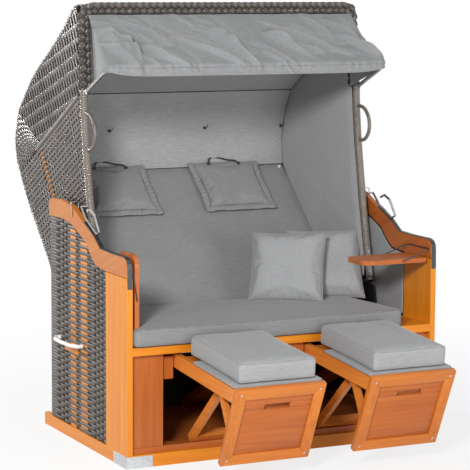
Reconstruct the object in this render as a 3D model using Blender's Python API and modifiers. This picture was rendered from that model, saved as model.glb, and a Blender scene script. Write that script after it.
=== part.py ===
"""Hooded beach chair with two footrests, two side tables and an awning.

Metres, +Z up. -Y is the front and +X is the right side as seen from the front. The origin is on
the ground in the middle of the base. The footrests are drawn out, the hood leans back, the awning
is down, the right table is open and the left table is folded.
"""
import math

import bmesh
import bpy
from mathutils import Matrix, Vector
from mathutils.bvhtree import BVHTree

# Driving dimensions of the base
BASE_WIDTH = 1.25
BASE_DEPTH = 0.745
BOARD = 0.022
FIT = 0.0003
OVERRUN = 0.004
SILL_HEIGHT = 0.045
SILL_OVERHANG = 0.055
FRONT_BOARD_DEPTH = 0.190
FRONT_BOARD_TOP = 0.672
ARM_HEIGHT = 0.882
ARM_THICKNESS = 0.022
SIDE_LINING = 0.003
SIDE_LINING_LOW = 0.435
RACK_THICKNESS = 0.0025
RACK_WIDTH = 0.017
RACK_REACH = 0.500
RACK_LOW = 0.635
CORNER_PLATE = 0.0025
CORNER_PLATE_REACH = 0.115
CORNER_PLATE_RETURN = 0.100
CORNER_PLATE_HEIGHT = 0.042

# Floor, ledge and bearers of the base
FLOOR_TOP = 0.035
FLOOR_THICKNESS = 0.010
LEDGE_TOP = 0.065
LEDGE_DEPTH = 0.053
BEARER_WIDTH = 0.060

# Seat frame and its cushion
SEAT_RAIL_LOW = 0.398
SEAT_TOP = 0.427
SEAT_DECK = 0.010
SEAT_WIDE_DEPTH = 0.215
SEAT_DECK_DEPTH = 0.505
SEAT_DECK_GAP = 0.006
SEAT_CUSHION_SIDE_ROOM = 0.128
SEAT_CUSHION_SHIFT = 0.062
SEAT_CUSHION_DEPTH = 0.545
SEAT_CUSHION_OVERHANG = 0.020
SEAT_CUSHION_HEIGHT = 0.070
SEAT_CUSHION_FALL = 0.016
SEAT_CUSHION_REAR_INSET = 0.065

# Fixed front panels and the battens behind them
FIXED_PANEL_INNER = 0.477
FIXED_PANEL_SET_BACK = 0.024
FIXED_PANEL_THICKNESS = 0.020
CENTRE_HALF = 0.082
GUIDE_OUTER = 0.500
GUIDE_INNER = 0.431
GUIDE_DEPTH = 0.040
GUIDE_RUN_OUT = 0.140

# Carrying handles on the sides
CARRY_FRONT = 0.411
CARRY_REAR = 0.631
CARRY_HEIGHT = 0.366
CARRY_BULGE = 0.034
CARRY_RADIUS = 0.0075

# Hood
HOOD_SIDE_GAP = 0.017
HOOD_START_BEFORE_REAR = 0.745
HOOD_REACH = 1.224
HOOD_HEIGHT = 1.608
HOOD_SHELL = 0.022
HOOD_SIDE = 0.020
HOOD_EDGE_ROUNDING = 0.016
HOOD_LINING = 0.005
PIVOT_BEFORE_REAR = 0.125
PIVOT_HEIGHT = 0.350
PIVOT_BOLT_RADIUS = 0.012
PIVOT_WASHER_RADIUS = 0.030
PIVOT_WASHER = 0.005
POST_RADIUS = 0.020
BRAID_RADIUS = 0.025
BRAID_ABOVE_POST = 0.0036
BRAID_BEHIND_POST = 0.0018
BRAID_CORNER = 0.030

# Backrest and the cushions that hang on it
BACKREST_THICKNESS = 0.026
BACKREST_ROUNDING = 0.010
NECK_WIDTH = 0.290
NECK_LENGTH = 0.262
NECK_THICKNESS = 0.072
NECK_PLACE = 0.245
NECK_BELOW_TOP = 0.140
THROW_SIZE = 0.290
THROW_THICKNESS = 0.105
THROW_FRONT_ROOM = 0.423
THROW_FRONT_DEPTH = 0.356
THROW_BACK_ROOM = 0.218
THROW_BACK_DEPTH = 0.384
THROW_LEAN = math.radians(30)

# Loop handles on the posts
STRAP_BELOW_BRAID = 0.086
STRAP_SPAN = 0.132
STRAP_REACH = 0.082
STRAP_RADIUS = 0.006

# Catches over the arm boards
LEVER_BEFORE_REAR = 0.295
LEVER_ABOVE_ARM = 0.030
LEVER_REACH = 0.177
LEVER_RADIUS = 0.005
LEVER_INSET = 0.013

# Awning
AWNING_INSET = 0.0175
AWNING_BELOW_BRAID = 0.006
AWNING_BEFORE_POST = 0.0086
AWNING_REACH = 0.186
AWNING_RISE = 0.083
AWNING_LUG = 0.003
AWNING_LUG_HEIGHT = 0.010
AWNING_RADIUS = 0.008
AWNING_CORNER = 0.030
AWNING_TOP_INSET = 0.058
AWNING_CLOTH = 0.003
AWNING_SAG = 0.012
AWNING_FOLD = 0.004
AWNING_HEM = 0.030

# Side tables
LEAF_LENGTH = 0.262
LEAF_THICKNESS = 0.016
LEAF_FRONT = 0.012
LEAF_REAR = 0.165
LEAF_CORNER = 0.042
LEAF_HINGE = 0.100
BOW_LENGTH = 0.120
BOW_HEIGHT = 0.708
BOW_RADIUS = 0.0025
BOW_CORNER = 0.006
BOW_OPEN = math.radians(70)
BOW_FOLDED = math.radians(9)

# Footrests, drawn out
FOOT_CENTRE = 0.258
RAIL_KEPT_INSIDE = 0.195
FOOT_HEIGHT = 0.347
FOOT_STOWED_HEIGHT = 0.388
FOOT_STOWED_SET_BACK = 0.0013
FOOT_SLOPE = math.radians(4.7)
FOOT_PANEL_TILT = math.radians(24.5)
FOOT_PANEL_WIDTH = 0.338
FOOT_PANEL_LENGTH = 0.310
FOOT_PANEL_THICKNESS = 0.022
FOOT_PANEL_BORDER = 0.040
FOOT_PANEL_RECESS = 0.006
GRIP_WIDTH = 0.098
GRIP_HEIGHT = 0.022
GRIP_BELOW_TOP = 0.068
RAIL_LENGTH = 0.660
RAIL_HEIGHT = 0.050
RAIL_THICKNESS = 0.020
RAIL_HALF = 0.167
SLAT_THICKNESS = 0.018
AXLE_BEFORE_END = 0.025
AXLE_BELOW = 0.030
AXLE_RADIUS = 0.010
AXLE_HALF = 0.188
BRACE_ALONG = 0.190
BRACE_BELOW = 0.026
BRACE_WIDTH = 0.026
BRACE_THICKNESS = 0.018
BRACE_DOWN = 0.200
STRUT_ALONG = 0.225
STRUT_BELOW = 0.035
STRUT_HALF = 0.109
STRUT_WIDTH = 0.029
STRUT_THICKNESS = 0.018
STRUT_FOOT_DEPTH = 0.045
STRUT_ROD_RADIUS = 0.006
PAD_BEFORE_END = 0.325
PAD_THICKNESS = 0.012
FOOT_CUSHION_WIDTH = 0.302
FOOT_CUSHION_START = 0.026
FOOT_CUSHION_BEFORE_END = 0.246
FOOT_CUSHION_HEIGHT = 0.078

# Outlines, as shares of the sizes named beside them
# Arm board, from its rear end to the front: shares of BASE_DEPTH and ARM_HEIGHT
ARM_TOP_SHARES = [(1.000, 0.986), (0.940, 1.000), (0.805, 1.000), (0.693, 0.988), (0.541, 0.933),
                  (0.413, 0.888), (0.330, 0.845), (0.201, 0.841), (0.043, 0.841), (0.016, 0.833),
                  (0.004, 0.819), (0.000, 0.799)]
ARM_LOW_SHARES = [(1.000, 0.920), (0.805, 0.922), (0.703, 0.910), (0.584, 0.878), (0.499, 0.848),
                  (0.446, 0.806), (0.383, 0.771)]
# Hood, from the roof's front edge back and down: shares of HOOD_REACH and HOOD_HEIGHT
HOOD_SHARES = [(0.479, 0.996), (0.500, 0.987), (0.552, 0.955), (0.667, 0.900), (0.799, 0.843),
               (0.866, 0.807), (0.909, 0.777), (0.966, 0.738), (0.991, 0.693), (1.000, 0.651),
               (0.984, 0.604), (0.943, 0.562), (0.876, 0.501), (0.809, 0.455), (0.703, 0.380),
               (0.625, 0.308), (0.588, 0.277), (0.556, 0.249)]
POST_SHARES = [(0.319, 0.336), (0.333, 0.384), (0.377, 0.541), (0.408, 0.670), (0.422, 0.756),
               (0.425, 0.805)]
LINING_SHARES = [(0.472, 0.961), (0.847, 0.777), (0.889, 0.719), (0.913, 0.653), (0.908, 0.580)]
LINING_LOW_SHARES = [(0.886, 0.563), (0.507, 0.258), (0.408, 0.292), (0.342, 0.348)]
SIDE_LOW_SHARES = [(0.549, 0.187), (0.462, 0.187), (0.288, 0.280), (0.303, 0.327),
                   (0.341, 0.327)]
LINING_CUT_SHARES = [(0.908, 0.150), (0.100, 0.150), (0.100, 1.100), (0.300, 1.100)]
BRAID_TOP_SHARE = 0.447
REAR_PANEL_TOP_SHARE = 0.2674
BACKREST_SHARES = [(0.4533, 0.2738), (0.8982, 0.5736)]
# Catch: shares of its reach, forward of its pin and above the arm board
LEVER_SHARES = [(0.000, 0.170), (0.260, 0.061), (0.830, 0.054), (0.970, 0.210), (0.720, 0.393),
                (0.500, 0.381), (0.340, 0.255)]
# Footrest slats, from front to rear: shares of RAIL_LENGTH
SLAT_SHARES = [(0.061, 0.152), (0.555, 0.697), (0.871, 0.970)]
# Places where a cushion's cage is cut: shares of its half size
SEAT_CUT_SHARES = (-0.9, -0.35, -0.2, 0.0, 0.5, 0.9)
BOX_CUT_SHARES = (-0.86, 0.0, 0.86)
PILLOW_CUT_SHARES = (-0.55, 0.0, 0.55)

FRONT = -BASE_DEPTH / 2
INNER = BASE_WIDTH / 2 - BOARD
FOOT_REACH = RAIL_LENGTH - RAIL_KEPT_INSIDE
HOOD_START = BASE_DEPTH - HOOD_START_BEFORE_REAR
PIVOT_DEPTH = BASE_DEPTH - PIVOT_BEFORE_REAR
LEVER_DEPTH = BASE_DEPTH - LEVER_BEFORE_REAR
REAR_PANEL_TOP = REAR_PANEL_TOP_SHARE * HOOD_HEIGHT
AXLE_ALONG = RAIL_LENGTH - AXLE_BEFORE_END
PAD_LENGTH = RAIL_LENGTH - PAD_BEFORE_END
FOOT_CUSHION_LENGTH = RAIL_LENGTH - FOOT_CUSHION_BEFORE_END
SEAT_CUSHION_WIDTH = 2 * INNER - SEAT_CUSHION_SIDE_ROOM
SEAT_CUSHION_REAR_HALF = INNER - SEAT_CUSHION_REAR_INSET
HOOD_HALF = INNER - HOOD_SIDE_GAP
AWNING_HALF = HOOD_HALF - AWNING_INSET
AWNING_TOP_HALF = HOOD_HALF - AWNING_TOP_INSET
LEVER_PLACE = BASE_WIDTH / 2 - LEVER_INSET
HOOD_SIDE_INNER = HOOD_HALF - HOOD_SIDE
LINING_HALF = HOOD_SIDE_INNER - FIT
LINING_INNER = LINING_HALF - HOOD_LINING
POST_PLACE = HOOD_HALF - POST_RADIUS
BRAID_PLACE = HOOD_HALF - BRAID_RADIUS
SEAT_DECK_HALF = HOOD_HALF - 2 * POST_RADIUS - SEAT_DECK_GAP
POST_TOP = POST_SHARES[-1][1] * HOOD_HEIGHT
BRAID_LOW = POST_TOP + BRAID_ABOVE_POST
POST_TOP_DEPTH = HOOD_START + POST_SHARES[-1][0] * HOOD_REACH
BRAID_LOW_DEPTH = POST_TOP_DEPTH + BRAID_BEHIND_POST
BRAID_TOP = HOOD_HEIGHT - BRAID_RADIUS
BRAID_TOP_DEPTH = HOOD_START + BRAID_TOP_SHARE * HOOD_REACH
AWNING_PIVOT_HEIGHT = BRAID_LOW - AWNING_BELOW_BRAID
AWNING_PIVOT_DEPTH = POST_TOP_DEPTH - POST_RADIUS - AWNING_BEFORE_POST
SIDES = (("left", -1), ("right", 1))

for leftover in list(bpy.data.objects):
    bpy.data.objects.remove(leftover, do_unlink=True)

MODEL = bpy.data.collections.new("hooded_beach_chair")
CUTTERS = bpy.data.collections.new("cutters")
bpy.context.scene.collection.children.link(MODEL)
bpy.context.scene.collection.children.link(CUTTERS)


def finish(name, colour, roughness, metallic=0.0):
    """A plain surface with the part's colour."""
    material = bpy.data.materials.new(name)
    material.use_nodes = True
    shader = material.node_tree.nodes["Principled BSDF"]
    shader.inputs["Base Color"].default_value = (*colour, 1.0)
    shader.inputs["Roughness"].default_value = roughness
    shader.inputs["Metallic"].default_value = metallic
    material.diffuse_color = (*colour, 1.0)
    return material


BRIGHT_WOOD = finish("bright_wood", (0.80, 0.34, 0.07), 0.45)
RED_WOOD = finish("red_wood", (0.55, 0.18, 0.05), 0.5)
WICKER = finish("wicker", (0.12, 0.10, 0.085), 0.4)
FABRIC = finish("grey_fabric", (0.25, 0.25, 0.26), 0.9)
PALE_FABRIC = finish("pale_fabric", (0.38, 0.38, 0.38), 0.9)
ZINC = finish("zinc", (0.55, 0.57, 0.58), 0.35, 1.0)
DARK_METAL = finish("dark_metal", (0.06, 0.06, 0.065), 0.4, 0.8)
WHITE_PLASTIC = finish("white_plastic", (0.8, 0.8, 0.8), 0.35)


def place(obj, look, collection=None):
    """Puts an object in the model with its surface."""
    obj.data.materials.append(look)
    (collection or MODEL).objects.link(obj)
    return obj


def behind(depth):
    """Y of a place that lies so far behind the base's front face."""
    return FRONT + depth


def scaled(shares, depth, height):
    """Side view points from shares of a depth and a height."""
    return [(behind(a * depth), b * height) for a, b in shares]


def hood_line(shares):
    """Side view points of the hood, which keeps its place before the base's rear."""
    return [(y + HOOD_START, z) for y, z in scaled(shares, HOOD_REACH, HOOD_HEIGHT)]


def offset_path(path, distance):
    """The side view path moved to its left by a distance."""
    moved = []
    for i, point in enumerate(path):
        here = Vector(point)
        sides = []
        if i > 0:
            sides.append((here - Vector(path[i - 1])).normalized())
        if i < len(path) - 1:
            sides.append((Vector(path[i + 1]) - here).normalized())
        normals = [Vector((-side.y, side.x)) for side in sides]
        middle = sum(normals, Vector((0, 0))).normalized()
        moved.append(tuple(here + middle * (distance / middle.dot(normals[0]))))
    return moved


def rounded(obj, width, segments=2):
    """Rounds an object's sharp edges."""
    weld = obj.modifiers.new("weld", "WELD")
    weld.merge_threshold = 0.0001
    bevel = obj.modifiers.new("bevel", "BEVEL")
    bevel.width = width
    bevel.segments = segments
    bevel.limit_method = "ANGLE"
    return obj


def outline_curve(name, outline, thickness):
    """A closed flat outline with an even thickness."""
    curve = bpy.data.curves.new(name, "CURVE")
    curve.dimensions = "2D"
    curve.fill_mode = "BOTH"
    curve.extrude = thickness / 2
    spline = curve.splines.new("POLY")
    spline.points.add(len(outline) - 1)
    for point, (a, b) in zip(spline.points, outline):
        point.co = (a, b, 0, 1)
    spline.use_cyclic_u = True
    return bpy.data.objects.new(name, curve)


def side_plate(name, outline, low, high, look, collection=None):
    """A side view outline given thickness along X, from low to high."""
    obj = outline_curve(name, outline, high - low)
    obj.matrix_world = Matrix(((0, 0, 1, (low + high) / 2), (1, 0, 0, 0), (0, 1, 0, 0), (0, 0, 0, 1)))
    return place(obj, look, collection)


def block(name, low, high, look, rounding=0.0, collection=None):
    """A box between two corners."""
    mesh = bpy.data.meshes.new(name)
    form = bmesh.new()
    bmesh.ops.create_cube(form, size=1.0)
    bmesh.ops.scale(form, vec=[b - a for a, b in zip(low, high)], verts=form.verts)
    form.to_mesh(mesh)
    form.free()
    obj = bpy.data.objects.new(name, mesh)
    obj.location = [(a + b) / 2 for a, b in zip(low, high)]
    if rounding:
        rounded(obj, rounding)
    return place(obj, look, collection)


def tube(name, points, radius, look, resolution=2, collection=None):
    """A round bar along a list of points, with flat ends."""
    curve = bpy.data.curves.new(name, "CURVE")
    curve.dimensions = "3D"
    curve.bevel_depth = radius
    curve.bevel_resolution = resolution
    curve.use_fill_caps = True
    spline = curve.splines.new("POLY")
    spline.points.add(len(points) - 1)
    for point, place_of in zip(spline.points, points):
        point.co = (*place_of, 1)
    return place(bpy.data.objects.new(name, curve), look, collection)


def eased(points, reach):
    """The same run of points with each inner corner cut off."""
    run = [Vector(point) for point in points]
    smooth = [run[0]]
    for before, here, after in zip(run, run[1:], run[2:]):
        smooth.append(here + (before - here).normalized() * reach)
        smooth.append(here + (after - here).normalized() * reach)
    return smooth + [run[-1]]


def as_mesh(obj):
    """The same object as a welded mesh that can be cut."""
    bpy.context.view_layer.update()
    graph = bpy.context.evaluated_depsgraph_get()
    mesh = bpy.data.meshes.new_from_object(obj.evaluated_get(graph))
    form = bmesh.new()
    form.from_mesh(mesh)
    bmesh.ops.remove_doubles(form, verts=form.verts, dist=0.00001)
    form.to_mesh(mesh)
    form.free()
    name, home, world = obj.name, obj.users_collection[0], obj.matrix_world.copy()
    bpy.data.objects.remove(obj, do_unlink=True)
    solid = bpy.data.objects.new(name, mesh)
    solid.matrix_world = world
    home.objects.link(solid)
    return solid


def at_origin(obj):
    """The same object as a mesh whose own origin is the model's."""
    solid = as_mesh(obj)
    solid.data.transform(solid.matrix_world)
    solid.matrix_world = Matrix()
    return solid


def boolean(obj, other, operation):
    """Joins or cuts an object with another, which becomes a cutter."""
    for home in list(other.users_collection):
        home.objects.unlink(other)
    CUTTERS.objects.link(other)
    other.hide_render = True
    other.display_type = "WIRE"
    modifier = obj.modifiers.new(operation.lower(), "BOOLEAN")
    modifier.operation = operation
    modifier.object = other
    return obj


def turned(name, profile, look):
    """A round piece from a profile of radius and height, top to bottom."""
    mesh = bpy.data.meshes.new(name)
    form = bmesh.new()
    verts = [form.verts.new((radius, 0, height)) for radius, height in profile]
    for a, b in zip(verts, verts[1:]):
        form.edges.new((a, b))
    form.to_mesh(mesh)
    form.free()
    obj = bpy.data.objects.new(name, mesh)
    screw = obj.modifiers.new("screw", "SCREW")
    screw.steps = 24
    screw.render_steps = 24
    screw.use_merge_vertices = True
    screw.merge_threshold = 0.0001
    return place(obj, look)


def cushion(name, size, look, edge_share, pinch_share, cuts, level=1, shape=None):
    """A crowned closed form whose sides pull in between its corners."""
    mesh = bpy.data.meshes.new(name)
    form = bmesh.new()
    bmesh.ops.create_cube(form, size=2.0)
    for axis in (0, 1):
        normal = Vector((0, 0, 0))
        normal[axis] = 1.0
        for cut in cuts:
            everything = form.verts[:] + form.edges[:] + form.faces[:]
            bmesh.ops.bisect_plane(form, geom=everything, plane_co=normal * cut, plane_no=normal)
    for vert in form.verts:
        x, y, z = vert.co
        swell = edge_share + (1 - edge_share) * (1 - x ** 4) * (1 - y ** 4)
        vert.co = (x * (1 - pinch_share * (1 - y * y)) * size[0] / 2,
                   y * (1 - pinch_share * (1 - x * x)) * size[1] / 2,
                   z * swell * size[2] / 2)
        if shape:
            vert.co = shape(vert.co)
    form.to_mesh(mesh)
    form.free()
    obj = bpy.data.objects.new(name, mesh)
    smooth = obj.modifiers.new("smooth", "SUBSURF")
    smooth.levels = level
    smooth.render_levels = level
    return place(obj, look)


def settle(obj, support, down):
    """Moves a soft piece along a direction until it rests on another piece."""
    bpy.context.view_layer.update()
    graph = bpy.context.evaluated_depsgraph_get()
    corners, trees = [], []
    for piece in (obj, support):
        mesh = piece.evaluated_get(graph).to_mesh()
        points = [piece.matrix_world @ vert.co for vert in mesh.vertices]
        corners.append(points)
        trees.append(BVHTree.FromPolygons(points, [tuple(face.vertices) for face in mesh.polygons]))
    falls = [trees[1].ray_cast(point, down)[3] for point in corners[0]]
    falls += [trees[0].ray_cast(point, -down)[3] for point in corners[1]]
    clear = min(fall for fall in falls if fall is not None)
    obj.matrix_world = Matrix.Translation(down * (clear - FIT)) @ obj.matrix_world


def mirrored_span(side, near, far):
    """Low and high X of a piece between two distances from the middle, on one side."""
    return (near, far) if side > 0 else (-far, -near)


def make_base_sides():
    """Sills, boards, woven panels, arm boards, racks and corner plates."""
    arm_top = scaled(ARM_TOP_SHARES, BASE_DEPTH, ARM_HEIGHT)
    arm_low = scaled(ARM_LOW_SHARES, BASE_DEPTH, ARM_HEIGHT)
    front_low = (FRONT, FRONT_BOARD_TOP)
    arm_low_front = [(behind(FRONT_BOARD_DEPTH + FIT), FRONT_BOARD_TOP)]
    arm = arm_top + [front_low] + arm_low_front + arm_low[::-1]
    panel_top = [(y, z - FIT) for y, z in arm_low] + [(y, z - FIT) for y, z in arm_low_front]
    panel = [(behind(FRONT_BOARD_DEPTH + FIT), SILL_HEIGHT + FIT),
             (behind(BASE_DEPTH), SILL_HEIGHT + FIT)]
    panel += panel_top
    lining = [(behind(FRONT_BOARD_DEPTH + FIT), SIDE_LINING_LOW),
              (behind(BASE_DEPTH - BOARD - FIT), SIDE_LINING_LOW)]
    lining_top = [(min(y, behind(BASE_DEPTH - BOARD - FIT)), z - ARM_THICKNESS) for y, z in panel_top]
    lining += lining_top
    rack_path = [point for point in arm_top if point[0] < behind(RACK_REACH)]
    rack_path += [(FRONT, RACK_LOW)]
    rack = offset_path(rack_path, -FIT) + offset_path(rack_path, -FIT - RACK_THICKNESS)[::-1]
    outer = BASE_WIDTH / 2
    for word, side in SIDES:
        low, high = mirrored_span(side, INNER, outer)
        block(f"sill_{word}", (low, FRONT, 0), (high, behind(BASE_DEPTH + SILL_OVERHANG), SILL_HEIGHT),
              BRIGHT_WOOD)
        block(f"front_board_{word}", (low, FRONT, SILL_HEIGHT + FIT),
              (high, behind(FRONT_BOARD_DEPTH), FRONT_BOARD_TOP - FIT), BRIGHT_WOOD)
        side_plate(f"side_panel_{word}", panel, low, high, WICKER)
        low, high = mirrored_span(side, outer - ARM_THICKNESS, outer)
        rounded(side_plate(f"arm_board_{word}", arm, low, high, BRIGHT_WOOD), RACK_THICKNESS, 1)
        middle = outer - ARM_THICKNESS / 2
        low, high = mirrored_span(side, middle - RACK_WIDTH / 2, middle + RACK_WIDTH / 2)
        side_plate(f"arm_rack_{word}", rack, low, high, DARK_METAL)
        low, high = mirrored_span(side, INNER - FIT - SIDE_LINING, INNER - FIT)
        side_plate(f"side_lining_{word}", lining, low, high, FABRIC)
        make_corner_plate(word, side)
        make_carry_handle(word, side)


def make_corner_plate(word, side):
    """A bent zinc plate round one front foot."""
    outer = BASE_WIDTH / 2 + FIT
    near = outer + CORNER_PLATE - CORNER_PLATE_RETURN
    edge = FRONT - FIT
    rear = behind(CORNER_PLATE_REACH)
    corner = [(outer + CORNER_PLATE, edge - CORNER_PLATE), (outer + CORNER_PLATE, rear), (outer, rear),
              (outer, edge), (near, edge), (near, edge - CORNER_PLATE)]
    obj = outline_curve(f"corner_plate_{word}", [(side * x, y) for x, y in corner],
                        CORNER_PLATE_HEIGHT)
    obj.location = (0, 0, CORNER_PLATE_HEIGHT / 2)
    place(obj, ZINC)


def make_carry_handle(word, side):
    """A bow handle that stands off the woven side panel."""
    start = BASE_WIDTH / 2 + FIT
    far = start + CARRY_BULGE
    span = CARRY_REAR - CARRY_FRONT
    turn = CARRY_BULGE
    stations = [(start, CARRY_FRONT), (far - turn / 2, CARRY_FRONT), (far, CARRY_FRONT + turn),
                (far + turn / 8, CARRY_FRONT + span / 2), (far, CARRY_REAR - turn),
                (far - turn / 2, CARRY_REAR), (start, CARRY_REAR)]
    points = [(side * x, behind(depth), CARRY_HEIGHT) for x, depth in stations]
    tube(f"carry_handle_{word}", points, CARRY_RADIUS, WHITE_PLASTIC)


def make_base_middle():
    """Front plinth, floor with its ledge and bearers, rear panel and front panels."""
    half = INNER - FIT
    block("plinth_front", (-half, FRONT, 0), (half, behind(BOARD), SILL_HEIGHT), BRIGHT_WOOD)
    ledge = BOARD + FIT
    rear = BASE_DEPTH - BOARD - FIT
    middle = BASE_DEPTH / 2
    under = FLOOR_TOP - FLOOR_THICKNESS
    floor = [(ledge, 0), (ledge, LEDGE_TOP), (ledge + LEDGE_DEPTH, LEDGE_TOP),
             (ledge + LEDGE_DEPTH, FLOOR_TOP), (rear, FLOOR_TOP), (rear, 0), (rear - LEDGE_DEPTH, 0),
             (rear - LEDGE_DEPTH, under), (middle + BEARER_WIDTH / 2, under),
             (middle + BEARER_WIDTH / 2, 0), (middle - BEARER_WIDTH / 2, 0),
             (middle - BEARER_WIDTH / 2, under), (ledge + LEDGE_DEPTH, under), (ledge + LEDGE_DEPTH, 0)]
    side_plate("floor_board", [(behind(d), z) for d, z in floor], -half, half, RED_WOOD)
    block("rear_panel", (-half, behind(BASE_DEPTH - BOARD), 0), (half, behind(BASE_DEPTH), REAR_PANEL_TOP),
          WICKER)


def guide_outline():
    """Side view of a batten whose sloping top carries a footrest's axle."""
    start_depth, start_height, home_depth, slope = axle_path()
    front = FIXED_PANEL_SET_BACK + FIXED_PANEL_THICKNESS - OVERRUN
    rear = BASE_DEPTH - BOARD - FIT
    slope_end = min(rear, home_depth + GUIDE_RUN_OUT)
    drop = AXLE_RADIUS / math.cos(slope) + FIT
    knee_height = SEAT_RAIL_LOW - SLAT_THICKNESS
    knee = start_depth - (knee_height - start_height + drop) / math.tan(slope)
    rear_height = start_height - drop - (slope_end - start_depth) * math.tan(slope)
    low_height = max(rear_height - GUIDE_DEPTH, FLOOR_TOP + FIT)
    low = [(slope_end, low_height),
           (knee, knee_height - GUIDE_DEPTH - GUIDE_DEPTH / 2), (front, knee_height - GUIDE_DEPTH * 2)]
    top = [(front, knee_height), (knee, knee_height), (slope_end, rear_height)]
    if rear > slope_end:
        top += [(rear, rear_height), (rear, low_height)]
    return [(behind(d), z) for d, z in top + low]


def make_front_panels():
    """Fixed panels beside the footrests and between them, each with its batten."""
    low_z = LEDGE_TOP + FIT
    high_z = SEAT_RAIL_LOW - FIT
    near, far = behind(FIXED_PANEL_SET_BACK), behind(FIXED_PANEL_SET_BACK + FIXED_PANEL_THICKNESS)
    for word, side in SIDES:
        low, high = mirrored_span(side, FIXED_PANEL_INNER, INNER - FIT)
        panel = block(f"fixed_panel_{word}", (low, near, low_z), (high, far, high_z), RED_WOOD)
        low, high = mirrored_span(side, GUIDE_INNER, GUIDE_OUTER)
        batten = as_mesh(side_plate(f"guide_{word}", guide_outline(), low, high, RED_WOOD))
        boolean(panel, batten, "UNION")
    panel = block("centre_divider", (-CENTRE_HALF, near, low_z), (CENTRE_HALF, far, high_z), RED_WOOD)
    batten = as_mesh(side_plate("guide_centre", guide_outline(), -CENTRE_HALF, CENTRE_HALF, RED_WOOD))
    boolean(panel, batten, "UNION")


def make_seat():
    """Seat rail and deck in one piece, and the seat cushion."""
    wide = INNER - FIT
    outline = [(-wide, FRONT), (wide, FRONT), (wide, behind(SEAT_WIDE_DEPTH)),
               (SEAT_DECK_HALF, behind(SEAT_WIDE_DEPTH)), (SEAT_DECK_HALF, behind(SEAT_DECK_DEPTH)),
               (-SEAT_DECK_HALF, behind(SEAT_DECK_DEPTH)), (-SEAT_DECK_HALF, behind(SEAT_WIDE_DEPTH)),
               (-wide, behind(SEAT_WIDE_DEPTH))]
    deck = outline_curve("seat_frame", outline, SEAT_DECK)
    deck.location = (0, 0, SEAT_TOP - SEAT_DECK / 2)
    deck = as_mesh(place(deck, BRIGHT_WOOD))
    rail = block("seat_rail", (-wide, FRONT, SEAT_RAIL_LOW),
                 (wide, behind(BOARD), SEAT_TOP - SEAT_DECK / 2), BRIGHT_WOOD)
    boolean(deck, rail, "UNION")

    half_depth = SEAT_CUSHION_DEPTH / 2
    rear_left = SEAT_CUSHION_SHIFT - SEAT_CUSHION_REAR_HALF

    def fit_between_sides(point):
        """Rear part is narrower on the left, and the top falls to the rear."""
        x, y, z = point
        back_share = (y + half_depth) / SEAT_CUSHION_DEPTH
        if y > SEAT_WIDE_DEPTH / 2 - half_depth:
            x = max(x, rear_left)
        if z > 0:
            z -= SEAT_CUSHION_FALL * back_share
        return (x, y, z)

    size = (SEAT_CUSHION_WIDTH, SEAT_CUSHION_DEPTH, SEAT_CUSHION_HEIGHT)
    seat = cushion("seat_cushion", size, FABRIC, 0.93, 0.0, SEAT_CUT_SHARES, 1, fit_between_sides)
    seat.location = (-SEAT_CUSHION_SHIFT, behind(half_depth - SEAT_CUSHION_OVERHANG),
                     SEAT_TOP + FIT + SEAT_CUSHION_HEIGHT / 2)
    return seat


def make_throw_pillows(seat_cushion):
    """Two square pillows that stand on the seat and lean back."""
    seat = SEAT_TOP + SEAT_CUSHION_HEIGHT
    lean = THROW_LEAN
    places = (("throw_pillow_front", INNER - THROW_FRONT_ROOM, THROW_FRONT_DEPTH, math.radians(33)),
              ("throw_pillow_back", INNER - THROW_BACK_ROOM, THROW_BACK_DEPTH, math.radians(17)))
    for name, x, depth, turn in places:
        pillow = cushion(name, (THROW_SIZE, THROW_SIZE, THROW_THICKNESS), PALE_FABRIC, 0.16, 0.05,
                         PILLOW_CUT_SHARES, 1)
        up = Vector((math.sin(lean) * math.sin(turn), math.sin(lean) * math.cos(turn), math.cos(lean)))
        foot = Vector((x, behind(depth), seat + THROW_THICKNESS / 4))
        pillow.location = foot + up * THROW_SIZE / 2
        pillow.rotation_euler = (math.pi / 2 - lean, 0, -turn)
        settle(pillow, seat_cushion, Vector((0, 0, -1)))


def hood_inner_path(extra):
    """The hood's side view path, moved inside the shell by some more."""
    return offset_path(hood_line(HOOD_SHARES), -HOOD_SHELL - extra)


def hood_front_edge(gap):
    """Side view points just behind the posts and the braid, bottom to top."""
    posts = [(y + POST_RADIUS + gap, z) for y, z in hood_line(POST_SHARES)]
    braid = [(behind(BRAID_LOW_DEPTH) + BRAID_RADIUS + gap, BRAID_LOW - BRAID_RADIUS / 6),
             (behind(BRAID_TOP_DEPTH) + BRAID_RADIUS + gap, BRAID_TOP - BRAID_CORNER)]
    return posts[:-1] + braid


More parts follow.
